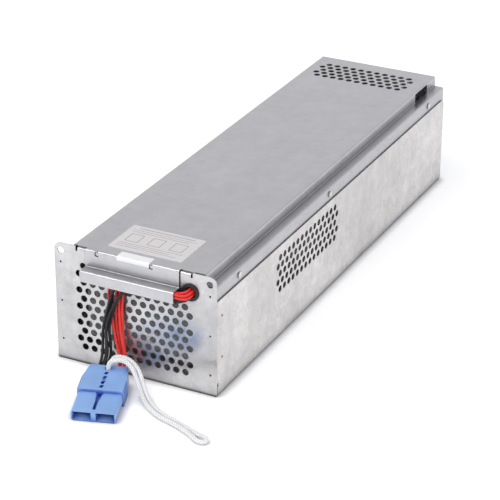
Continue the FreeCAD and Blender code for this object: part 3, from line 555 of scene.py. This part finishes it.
welded(plate, strip_piece)
fixed(plate, "galvanised_sheet", "front_plate")

# ---------------------------------------------------------------- hood
# Cover stepped down to a ledge along each side; its legs stand inside the tray walls. The front
# flap, shelf and lip are folded from the same sheet and make the pull handle, and two small
# lances are cut in the flap.

leg_gap = 0.2 * mm
leg_face = side - sheet - leg_gap
leg = leg_face - sheet / 2
top_left, top_right = -68.1 * mm + sheet / 2, 75.5 * mm - sheet / 2
ledge_left, ledge_right = 108 * mm - sheet / 2, 114.5 * mm - sheet / 2
leg_bottom = 94 * mm
roof = top - sheet / 2
hood_front = front + 2 * sheet + bend
handle_left, handle_right = -52.2 * mm, 48.7 * mm
shelf, handle_reach, lip_bottom = 108.2 * mm - sheet / 2, 13.2 * mm, 96.8 * mm
riser_slot = (225.0 * mm, 260.5 * mm)
lance_width, undercut_width, undercut = 3 * mm, 3.2 * mm, (120.6 * mm, 121.8 * mm)

section = bmesh.new()
add_prism(section, folded([(-leg, leg_bottom), (-leg, ledge_left), (top_left, ledge_left),
                           (top_left, roof), (top_right, roof), (top_right, ledge_right),
                           (leg, ledge_right), (leg, leg_bottom)]), "Y", hood_front, rear)
hood = made_object("hood", section, zinc_lengthways_painted_darker)
cut(hood, box_outline((top_right - sheet, top_right + sheet), riser_slot), "Z",
    ledge_right + sheet / 2, roof - sheet / 2)
top_field = (1.9 * mm, 245.5 * mm, top)
combined(hood, vent_punches("top vents", 5, 11, top_field, (0, 0, 0)))
handle = bmesh.new()
add_prism(handle, folded([(hood_front, roof), (front - sheet / 2, roof), (front - sheet / 2, shelf),
                          (front - handle_reach + sheet / 2, shelf),
                          (front - handle_reach + sheet / 2, lip_bottom)]),
          "X", handle_left, handle_right)
handle_piece = made_object("handle", handle, zinc_lengthways_painted_darker)
for x in lance_x:
    for u, v, w in (((x - slit_half, x + slit_half), (front - 2 * sheet, front - 0.3 * sheet),
                     (slit_foot, 2 * top)),
                    ((x, x + lance_width), (front - 0.9 * sheet, front - 0.2 * sheet),
                     (top - 2 * sheet, 2 * top)),
                    ((x, x + undercut_width), (front - 2 * sheet, front + sheet), undercut)):
        cut(handle_piece, box_outline(u, v), "Z", *w)
welded(hood, handle_piece)
fixed(hood, "galvanised_sheet", "hood")

# ---------------------------------------------------------------- inner metalwork
# Rear panel, hood rails, divider, block guides and front stop are plain folded sheet inside the
# tray, and the shanks of the rail screws pass through the rails.


def refinished(material, *names):
    """Gives CAD nodes a better material."""
    for name in names:
        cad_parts[name].material_slots[0].material = material


refinished(zinc_crossways_painted_lighter, "rear_panel", "hood_rail_left", "hood_rail_right", "divider",
           "block_guide_left", "block_guide_right", "front_stop", "rail_screws")

# ---------------------------------------------------------------- screws and rivets
# Six flat screws with a raised open ring hold the hood's legs to its rails, and six low rivets
# hold the front plate. All are zinc-plated steel.

fasteners, given = new_group("fasteners on points", {"Head": "Object", "Turn": "Vector",
                                                     "Material": "Material"})
head = add_node(fasteners, "GeometryNodeObjectInfo", Object=given["Head"])
spots = add_node(fasteners, "GeometryNodeMeshToPoints", Mesh=given["Geometry"])
stood = add_node(fasteners, "GeometryNodeInstanceOnPoints", Points=spots.outputs[0],
                 Instance=head.outputs["Geometry"], Rotation=given["Turn"])
finished(fasteners, stood.outputs[0], given["Material"])


def spun(mesh, profile, sides=40, gap=0.0):
    """Adds a profile of (radius, height) turned about Z; the gap leaves an opening, in radians."""
    turns = [gap / 2 + (2 * math.pi - gap) * k / sides for k in range(sides + (1 if gap else 0))]
    rings = [[mesh.verts.new((radius * math.cos(a), radius * math.sin(a), height))
              for radius, height in profile] for a in turns]
    closed = [] if gap else [(rings[-1], rings[0])]
    for ring, after in list(zip(rings, rings[1:])) + closed:
        for k in range(len(profile)):
            if profile[k - 1][0] == profile[k][0] == 0:
                continue
            mesh.faces.new((ring[k - 1], ring[k], after[k], after[k - 1]))
    if gap:
        mesh.faces.new(rings[0])
        mesh.faces.new(rings[-1])


def scaled(profile):
    """A profile given in millimetres."""
    return [(radius * mm, height * mm) for radius, height in profile]


screw = bmesh.new()
spun(screw, scaled([(0.01, 0), (3.0, 0), (3.0, 0.35), (2.85, 0.5), (0.01, 0.5)]))
spun(screw, scaled([(1.45, 0.45), (2.75, 0.45), (2.75, 1.0), (2.5, 1.25), (1.75, 1.25),
                    (1.45, 1.0)]), gap=0.9)
screw_head = made_object("screw head", screw)
rivet = bmesh.new()
spun(rivet, scaled([(1.05, -1.0), (1.05, 0.12), (1.3, 0.28), (1.7, 0.22), (1.95, 0), (1.95, -0.2),
                    (1.2, -0.3), (1.2, -1.0)]))
rivet_head = made_object("rivet head", rivet)

zinc_bright = galvanised("zinc plate", (0.80, 0.80, 0.81), (1, 1, 1), 0.26, 0.08)
screw_y = (-236.6 * mm, -30.8 * mm, 239.3 * mm)
for hand, label, z in ((1, "right", 108.0 * mm), (-1, "left", 104.3 * mm)):
    fixed(grown("rail_screws_" + label, fasteners, [(hand * leg_face, y, z) for y in screw_y],
                Head=screw_head, Turn=(0, hand * math.pi / 2, 0), Material=zinc_bright),
          "zinc_screw")
fixed(grown("plate_rivets", fasteners, [(x, front, z) for x, z in rivet_spots],
            Head=rivet_head, Turn=(math.pi / 2, 0, 0), Material=zinc_bright), "galvanised_sheet")
for part in (screw_head, rivet_head):
    bpy.data.objects.remove(part)

# ---------------------------------------------------------------- labels
# Thin printed film: a large ruled form on the hood behind the handle and a small white strip
# that is folded down over the hood's front edge. The boxes of the form are left empty.


def printed(name, paper_colour, ink, bars=()):
    """Satin film printed with bars, each given as (left, right, front, rear, +1 ink or -1 bare)."""
    material, tree = new_material(name)
    point = object_point(tree)
    fibre = noise(tree, 240.0, 4.0)
    result = mixed(tree, ranged(tree, fibre, 0.0, 0.25, (0.35, 0.65)), (*paper_colour, 1),
                   (*[c * 0.90 for c in paper_colour], 1))
    axes = add_node(tree, "ShaderNodeSeparateXYZ", Vector=point).outputs
    drawn = 0.0
    for x0, x1, y0, y1, sign in bars:
        inside = None
        for axis, low, high in (("X", x0 * mm, x1 * mm), ("Y", y0 * mm, y1 * mm)):
            off = arithmetic(tree, "SUBTRACT", axes[axis], (low + high) / 2)
            off = arithmetic(tree, "ABSOLUTE", off, 0.0)
            within = arithmetic(tree, "LESS_THAN", off, (high - low) / 2)
            inside = within if inside is None else arithmetic(tree, "MULTIPLY", inside, within)
        drawn = arithmetic(tree, "ADD", drawn, arithmetic(tree, "MULTIPLY", inside, sign))
    if bars:
        result = mixed(tree, drawn, result, (*ink, 1))
    film = add_node(tree, "ShaderNodeBsdfPrincipled", Base_Color=result, Roughness=0.42,
                    Coat_Weight=0.25, Coat_Roughness=0.22)
    add_node(tree, "ShaderNodeOutputMaterial", Surface=film.outputs[0])
    return material


film_thickness = 0.08 * mm
form_x, form_y, form_round = (-37.1 * mm, 42.5 * mm), (-271.0 * mm, -219.0 * mm), 1.2 * mm
form = bmesh.new()
add_prism(form, rounded([(*point, form_round) for point in box_outline(form_x, form_y)]), "Z", top,
          top + film_thickness)
rules = [(-27, 33, -224.4, -223.5, 1), (-32, 38, -228.6, -228.0, 1), (-32, 30, -232.2, -231.6, 1),
         (-32, 36, -257.6, -257.0, 1), (-32, 24, -261.2, -260.6, 1), (-32, 33, -264.8, -264.2, 1)]
for left, right in ((-29, -15), (-5, 9), (19, 33)):
    rules += [(left, right, -253.0, -236.5, 1), (left + 0.7, right - 0.7, -252.3, -237.2, -1)]
form_label = made_object("form_label", form, printed(
    "form label", (0.74, 0.705, 0.715), (0.27, 0.25, 0.26), rules))
fixed(form_label, "label_film")
edge_left, edge_right, edge_rear, edge_drop = -18.2 * mm, 16.9 * mm, -275.4 * mm, 4 * mm
strip = bmesh.new()
add_prism(strip, folded([(edge_rear, top + film_thickness / 2),
                         (front - sheet - film_thickness / 2, top + film_thickness / 2),
                         (front - sheet - film_thickness / 2, top - edge_drop)],
                        film_thickness, bend + sheet), "X", edge_left, edge_right)
strip_label = made_object("edge_label", strip, printed("edge label", (0.92, 0.92, 0.92), (0, 0, 0)))
fixed(strip_label, "label_film")

# ---------------------------------------------------------------- grommet
# Moulded rubber ring pressed into the cable hole, with a rolled lip on each face, so that the
# wires don't touch the plate's edge.


def moulded(name, colour, roughness, texture, relief, coat=0.0, wear=0.0, painted_recess_shade=None):
    """Moulded plastic or rubber: fine texture, cloudy colour, and painted shade in recesses."""
    material, tree = new_material(name)
    cloud, grain = noise(tree, 45.0, 4.0), noise(tree, texture, 3.0)
    tone = ranged(tree, cloud, 1.0 - wear - 0.06, 1.0 + wear + 0.04, (0.3, 0.7))
    shade = mixed(tree, 1.0, (*colour, 1), tone, "MULTIPLY")
    # Painted shade: ambient occlusion carries the colour towards a darker one in recesses.
    if painted_recess_shade:
        light = ranged(tree, openness(tree, 8 * mm), 0.0, 1.0, (0.4, 0.92))
        shade = mixed(tree, light, (*painted_recess_shade, 1), shade)
    bump = add_node(tree, "ShaderNodeBump", Strength=relief, Distance=0.0002, Height=grain)
    body = add_node(tree, "ShaderNodeBsdfPrincipled", Base_Color=shade,
                    Roughness=ranged(tree, cloud, roughness - 0.05, roughness + 0.07, (0.3, 0.7)),
                    Coat_Weight=coat, Coat_Roughness=0.15, Normal=bump.outputs[0])
    add_node(tree, "ShaderNodeOutputMaterial", Surface=body.outputs[0])
    return material


rubber = moulded("grommet rubber", (0.018, 0.018, 0.02), 0.42, 900.0, 0.2)
grommet_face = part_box("grommet")[0].y
ring = bmesh.new()
bore, hole, lip = 5.4, 7.3, 9.0
spun(ring, scaled([
    (bore, 0.5), (bore + 0.35, 0.12), (bore + 1.0, 0), (bore + 1.6, 0.28), (bore + 1.95, 0.32),
    (bore + 2.3, 0.1), (lip - 0.7, 0.06), (lip - 0.15, 0.35), (lip, 0.8), (lip - 0.1, 1.3),
    (lip - 0.5, 1.6), (hole, 1.6), (hole, 2.8), (lip - 0.5, 2.8), (lip, 3.3), (lip, 3.9),
    (lip - 0.5, 4.4), (bore + 0.4, 4.4), (bore, 4.0)]), 56)
for vertex in ring.verts:
    x, y, z = vertex.co
    vertex.co = (grommet_x + x, grommet_face + z, grommet_z + y)
ring_piece = made_object("grommet_ring", ring, rubber)
ring_piece.data.shade_smooth()
fixed(ring_piece, "grommet_rubber", "grommet")

# ---------------------------------------------------------------- connector
# Two-pole power connector moulded in blue polycarbonate, with silvered contacts held up by
# leaf springs and crimped on the wires.

# The blue's recesses take a painted deep-blue shade.
blue = moulded("connector blue", (0.26, 0.44, 0.80), 0.34, 700.0, 0.10, 0.1, 0.04,
               (0.01, 0.045, 0.40))
shell = bmesh.new()
shell.from_mesh(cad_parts["connector_housing"].data)
bmesh.ops.remove_doubles(shell, verts=shell.verts, dist=0.00001)
housing = made_object("housing", shell, blue)
nose, grip, half_width = 11.4 * mm, 17.0 * mm, 30 * mm
mouth_length, mouth_drop = 6 * mm, 0.5 * mm
groove_end, groove_top = 31.2 * mm, grip / 2 - 0.6 * mm
# Half width, start and depth of the groove along the nose
grooves = ((1.5 * mm, 4 * mm, 3.4 * mm), (2.2 * mm, 21 * mm, 2.2 * mm))
pockets, pocket_run, pocket_depth = (35.2 * mm, 42.4 * mm, 49.6 * mm, 56.8 * mm), 3.8 * mm, 3.2 * mm
pocket_wide, pocket_narrow = 2.3 * mm, 1.1 * mm
yaw, tilt, nose_place = math.radians(17.5), math.radians(5.7), (6.2 * mm, -377.4 * mm, 0)
turn = Matrix.Rotation(yaw, 4, "Z") @ Matrix.Rotation(tilt, 4, "X")
lie = Matrix.Translation(nose_place) @ turn @ Matrix.Translation((0, 0, nose / 2))
cut(housing, [(-1 * mm, nose), (-1 * mm, nose / 2 - mouth_drop), (mouth_length, nose / 2),
              (mouth_length, nose)], "X", -half_width, half_width, lie)
for half_groove, groove_start, depth in grooves:
    cut(housing, box_outline((-half_groove, half_groove), (groove_start, groove_end)), "Z",
        nose / 2 - depth, groove_top, lie)
for y in pockets:
    cut(housing, [(-pocket_wide, y), (pocket_narrow, y), (pocket_wide, y + pocket_run),
                  (-pocket_narrow, y + pocket_run)], "Z", grip / 2 - pocket_depth, grip, lie)
shell = bmesh.new()
shell.from_mesh(housing.data)
bmesh.ops.remove_doubles(shell, verts=shell.verts, dist=0.00001)
bmesh.ops.dissolve_limit(shell, angle_limit=math.radians(0.5), verts=shell.verts, edges=shell.edges)
shell.to_mesh(housing.data)
edge = housing.modifiers.new("moulded edge", "BEVEL")
edge.width = 0.35 * mm
edge.segments = 3
edge.limit_method = "ANGLE"
edge.angle_limit = math.radians(28)
settled(housing)
fixed(housing, "connector_plastic", "connector_housing")


def plated(name, colour, roughness):
    """Plated metal with faint polishing marks."""
    material, tree = new_material(name)
    marks = noise(tree, 700.0, 3.0, stretch=(1, 0.1, 1))
    bump = add_node(tree, "ShaderNodeBump", Strength=0.1, Distance=0.0001, Height=marks)
    metal = add_node(tree, "ShaderNodeBsdfPrincipled", Base_Color=(*colour, 1), Metallic=1.0,
                     Roughness=ranged(tree, marks, roughness - 0.06, roughness + 0.08),
                     Normal=bump.outputs[0])
    add_node(tree, "ShaderNodeOutputMaterial", Surface=metal.outputs[0])
    return material


refinished(plated("silver", (0.86, 0.85, 0.82), 0.22), "connector_contacts")
refinished(plated("spring steel", (0.55, 0.55, 0.55), 0.3), "contact_springs")

# ---------------------------------------------------------------- wires
# Four red and four black stranded wires in satin PVC, bundled through the grommet, laid across
# the plate under the handle and dropped to the connector's two barrels.

# Control points in millimetres, from the grommet to the connector
wire_routes = {
    "red_wire_1": [
        (63, -287.1, 108.1), (62.9, -293.1, 107.7), (59.1, -297.5, 106.4), (49.3, -295.9, 105.4),
        (30.5, -295.1, 105.4), (11.5, -292.9, 105.3), (-5.5, -291.9, 105.3), (-19, -290.5, 103.8),
        (-24.2, -289.5, 96.5), (-27.2, -288.6, 83), (-24.8, -288.4, 68), (-22.2, -289.1, 54),
        (-18.5, -291.5, 40), (-13.5, -294.9, 28), (-9.5, -300.1, 19.8), (-8.3, -305, 14.7),
        (-5.8, -313.1, 13.8)],
    "red_wire_2": [
        (63.6, -287.1, 105), (63.5, -293.5, 104.6), (59.9, -298.1, 103.4), (49.7, -296, 102.3),
        (32.5, -295.2, 102.2), (14.5, -292.9, 102.1), (-1.5, -291.6, 102.1),
        (-11.5, -291.2, 102.3), (-16.5, -288.5, 97.4), (-18.5, -288.4, 83), (-19.2, -288.4, 68),
        (-18.4, -288.4, 52), (-15.5, -289.1, 37), (-12, -291.3, 24), (-10.4, -297.1, 15.6),
        (-8.4, -304.7, 11.5), (-5.9, -312.8, 10.6)],
    "red_wire_3": [
        (60.1, -287.1, 109.3), (60, -291.5, 108.8), (56.7, -294.6, 107.8), (48, -292.9, 105.2),
        (29.5, -291.9, 105.4), (13.5, -289.3, 105.3), (-3.5, -288.4, 105.2), (-12.2, -288.4, 101),
        (-14.3, -288.4, 90.5), (-15.6, -288.6, 74.5), (-13.6, -291.5, 57), (-10.6, -292.9, 41),
        (-6.5, -295.3, 28), (-4.5, -299.7, 19.6), (-5.1, -304, 14.7), (-2.6, -312.1, 13.8)],
    "red_wire_4": [
        (60.1, -287.1, 105.8), (60, -291.5, 105.2), (57.1, -294.4, 103.8), (48.3, -293, 102.2),
        (31.5, -292.1, 102.2), (17.5, -289.3, 102.1), (0.5, -288.4, 102), (-9, -288.4, 97.5),
        (-11.2, -288.4, 87), (-12.3, -288.4, 73), (-12.2, -288.5, 56), (-11.2, -289.7, 40),
        (-7.8, -291.7, 25), (-5.8, -297.1, 16), (-5.2, -303.7, 11.5), (-2.6, -311.8, 10.6)],
    "black_wire_1": [
        (61.6, -287.1, 102.4), (61.5, -292.5, 101.9), (58.1, -295.9, 100.4), (48.5, -295.1, 99.2),
        (30.5, -294.7, 99), (10.5, -295.6, 98.9), (-7.5, -295.6, 98.9), (-16.7, -295.6, 96.4),
        (-20.6, -295.6, 86), (-25.4, -295.6, 69), (-30.2, -295.5, 50), (-30.2, -295.7, 34),
        (-29.2, -299.1, 23), (-27.4, -308.4, 14.9), (-24.1, -318.9, 13.8)],
    "black_wire_2": [
        (58.5, -287.1, 102.4), (58.7, -291, 101.1), (55.7, -293.2, 98.2), (46.5, -293.7, 96),
        (29.5, -293.8, 96), (12.5, -295.6, 95.9), (0, -295.6, 95.9), (-8, -295.6, 93.2),
        (-14.5, -295.6, 83), (-22, -295.6, 68), (-27, -295.5, 50), (-25.4, -295.7, 34),
        (-23.6, -298.9, 23), (-24.2, -307.4, 14.9), (-20.9, -317.8, 13.8)],
    "black_wire_3": [
        (57.5, -287.1, 107.9), (56.9, -290.5, 107.7), (54.3, -291.6, 106.4), (46.1, -289.5, 99.8),
        (30.5, -289.9, 99), (10.5, -292.6, 98.9), (-7.5, -292.6, 98.9), (-16.9, -292.6, 96.6),
        (-20.8, -292.6, 86), (-24, -292.4, 69), (-28.6, -292.4, 50), (-28.4, -292.4, 33),
        (-27.2, -295.3, 19.2), (-27.5, -308.1, 11.7), (-24.2, -318.6, 10.6)],
    "black_wire_4": [
        (56.6, -287.1, 105), (56.1, -290.2, 103.6), (53.7, -290.9, 99.6), (45.7, -290.1, 96.2),
        (29.5, -290.1, 96), (12.5, -292.6, 95.9), (0, -292.6, 95.9), (-8, -292.6, 93.2),
        (-14.6, -292.6, 83), (-20.6, -292.4, 68), (-25.4, -292.4, 50), (-23.4, -292.4, 33),
        (-22.2, -295.1, 19.2), (-24.3, -307.1, 11.7), (-21, -317.5, 10.6)],
}

wire = 2.8 * mm


def in_metres(points):
    """Points given in millimetres, to a tenth."""
    return [tuple(round(value * mm, 4) for value in point) for point in points]


def smooth_line(name, points, thickness):
    """Smooth curve with the points as its control points."""
    curve = bpy.data.curves.new(name, "CURVE")
    curve.dimensions = "3D"
    spline = curve.splines.new("NURBS")
    spline.points.add(len(points) - 1)
    for made, point in zip(spline.points, points):
        made.co = (*point, 1)
    spline.order_u = 3
    spline.use_endpoint_u = True
    spline.resolution_u = 12
    curve.bevel_depth = thickness / 2
    curve.bevel_resolution = 6
    curve.use_fill_caps = True
    piece = bpy.data.objects.new(name, curve)
    bpy.context.collection.objects.link(piece)
    return piece


pvc = {"red": moulded("red PVC", (0.80, 0.025, 0.018), 0.32, 500.0, 0.05, 0.2),
       "black": moulded("black PVC", (0.010, 0.009, 0.009), 0.42, 500.0, 0.05, 0.0)}
lengths = (0.197, 0.186, 0.170, 0.168, 0.183, 0.170, 0.183, 0.173)
for (name, points), length in zip(wire_routes.items(), lengths):
    colour, route = name.split("_")[0], in_metres(points)
    line = smooth_line(name + "_pvc", route, wire)
    line.data.materials.append(pvc[colour])
    fixed(line, colour + "_insulation", name)

# ---------------------------------------------------------------- pull cord
# Doubled white cord, braided from eight yarns of polyester with painted shade between the
# yarns and a faint painted glow, that is tied through the hole in the connector's tail and lies
# in a loop on the table.

# Control points in millimetres, from the tail round the loop and back
cord_route = in_metres([
    (-13.5, -315, 14.8), (-13.2, -316, 25), (-7.5, -316, 31.6), (2.4, -310.8, 31.2),
    (11.8, -311.7, 25.1), (19.4, -316.4, 13), (27.6, -323.9, 5.2), (42.4, -336.1, 2.5),
    (59.5, -345.7, 2.6), (71.3, -348.5, 2.5), (87.3, -354.3, 2.6), (100, -360.3, 2.5),
    (108.9, -367.3, 2.6), (117.1, -366.1, 2.6), (116.5, -359.2, 2.6), (105, -356.8, 2.5),
    (88.8, -350.5, 2.6), (72.9, -344.7, 2.5), (62.2, -341.9, 2.6), (45.2, -332.7, 2.5),
    (30.5, -320, 5.2), (22.5, -312.1, 12.8), (14.4, -307.2, 24), (4.7, -306.1, 30.4),
    (-5.3, -307.2, 31.4), (-13.9, -304.5, 26.6), (-16.9, -304.3, 18.2), (-15, -310.2, 13.8)])

cord, core_less = 4.6 * mm, 1.3 * mm
core = smooth_line("pull_cord_core", cord_route, cord - core_less)
line = smooth_line("cord line", cord_route, 0)
bpy.context.view_layer.update()
walk = [vertex.co.copy() for vertex in bpy.data.meshes.new_from_object(line).vertices]
bpy.data.objects.remove(line)
travelled = [0.0]
for first, second in zip(walk, walk[1:]):
    travelled.append(travelled[-1] + (second - first).length)
braid_pitch, yarns, sides, steps_a_turn = 11 * mm, 4, 6, 18
yarn_middle, weave = cord / 2 - 0.62 * mm, 0.24 * mm
yarn_flat, yarn_thick = 0.80 * mm, 0.55 * mm
steps = int(travelled[-1] / braid_pitch * steps_a_turn)
centres, k = [], 0
for step in range(steps + 1):
    target = travelled[-1] * step / steps
    while k < len(walk) - 2 and travelled[k + 1] < target:
        k += 1
    part = (target - travelled[k]) / (travelled[k + 1] - travelled[k])
    centres.append(walk[k].lerp(walk[k + 1], part))
ways = [(centres[min(k + 1, steps)] - centres[max(k - 1, 0)]).normalized()
        for k in range(steps + 1)]
across = ways[0].orthogonal().normalized()
braid = bmesh.new()
frames = []
for way in ways:
    across = (across - way * across.dot(way)).normalized()
    frames.append((across.copy(), way.cross(across)))
for hand in (-1, 1):
    for yarn in range(yarns):
        path = []
        for k, (centre, (u, v)) in enumerate(zip(centres, frames)):
            turned_by = 2 * math.pi * travelled[-1] * k / steps / braid_pitch
            angle = hand * turned_by + 2 * math.pi * yarn / yarns
            radius = yarn_middle + hand * weave * math.cos(yarns * turned_by)
            path.append(centre + (u * math.cos(angle) + v * math.sin(angle)) * radius)
        rings = []
        for k, point in enumerate(path):
            way = (path[min(k + 1, steps)] - path[max(k - 1, 0)]).normalized()
            outward = (point - centres[k]).normalized()
            flat = way.cross(outward).normalized()
            rings.append([braid.verts.new(
                point + flat * yarn_flat * math.cos(2 * math.pi * s / sides)
                + outward * yarn_thick * math.sin(2 * math.pi * s / sides)) for s in range(sides)])
        for ring, after in zip(rings, rings[1:]):
            for s in range(sides):
                braid.faces.new((ring[s - 1], ring[s], after[s], after[s - 1]))
        braid.faces.new(rings[0])
        braid.faces.new(rings[-1])
yarn_white, tree = new_material("white yarn")
fibre = noise(tree, 1400.0, 3.0)
# Painted shade: ambient occlusion darkens the yarn in the braid's crevices.
light = ranged(tree, openness(tree, 1.2 * mm), 0.0, 1.0, (0.35, 0.92))
tone = mixed(tree, light, (0.38, 0.38, 0.40, 1), (0.95, 0.95, 0.95, 1))
bump = add_node(tree, "ShaderNodeBump", Strength=0.4, Distance=0.0002, Height=fibre)
# The faint emission is a painted glow: the cord is no lamp.
yarn_body = add_node(tree, "ShaderNodeBsdfPrincipled", Base_Color=tone, Roughness=0.75,
                     Sheen_Weight=0.2, Emission_Color=(0.96, 0.96, 1.0, 1),
                     Emission_Strength=0.03, Normal=bump.outputs[0])
add_node(tree, "ShaderNodeOutputMaterial", Surface=yarn_body.outputs[0])
braid_piece = made_object("pull_cord_braid", braid, yarn_white)
braid_piece.data.shade_smooth()
fixed(braid_piece, "cord_fibre")
core.data.materials.append(yarn_white)
fixed(core, "cord_fibre", "pull_cord")

# ---------------------------------------------------------------- sealed blocks and their leads
# Lead-acid blocks in textured grey ABS with tinned tabs, push-on receptacles and PVC leads.

refinished(moulded("block case", (0.20, 0.20, 0.205), 0.5, 600.0, 0.3),
           *["battery_%d" % k for k in range(1, 9)])
refinished(plated("tinned brass", (0.78, 0.74, 0.62), 0.3), "battery_terminals")
refinished(pvc["black"], "battery_links", "black_harness")
refinished(pvc["red"], "red_harness")

# ---------------------------------------------------------------- liners and foam pads
# Pressed fibre sheet under the blocks, dark closed-cell foam above and behind them and a pale
# open-cell pad behind the front plate.


def cellular(name, colour, cell):
    """Foam or pressed fibre: small cells in bump and shade."""
    material, tree = new_material(name)
    cells = add_node(tree, "ShaderNodeTexVoronoi", Vector=object_point(tree),
                     Scale=cell).outputs["Distance"]
    shade = mixed(tree, ranged(tree, cells, 0.0, 1.0, (0.0, 0.7)),
                  (*[c * 0.7 for c in colour], 1), (*colour, 1))
    bump = add_node(tree, "ShaderNodeBump", Strength=0.5, Distance=0.0004, Height=cells)
    pad = add_node(tree, "ShaderNodeBsdfPrincipled", Base_Color=shade, Roughness=0.9,
                   Normal=bump.outputs[0])
    add_node(tree, "ShaderNodeOutputMaterial", Surface=pad.outputs[0])
    return material


refinished(cellular("dark foam", (0.05, 0.05, 0.055), 700.0), "hold_down_foam", "rear_foam")
refinished(cellular("pale foam", (0.34, 0.34, 0.35), 500.0), "front_foam")
refinished(cellular("pressed fibre", (0.55, 0.50, 0.40), 900.0), "liner_front", "liner_rear")

bpy.context.view_layer.update()
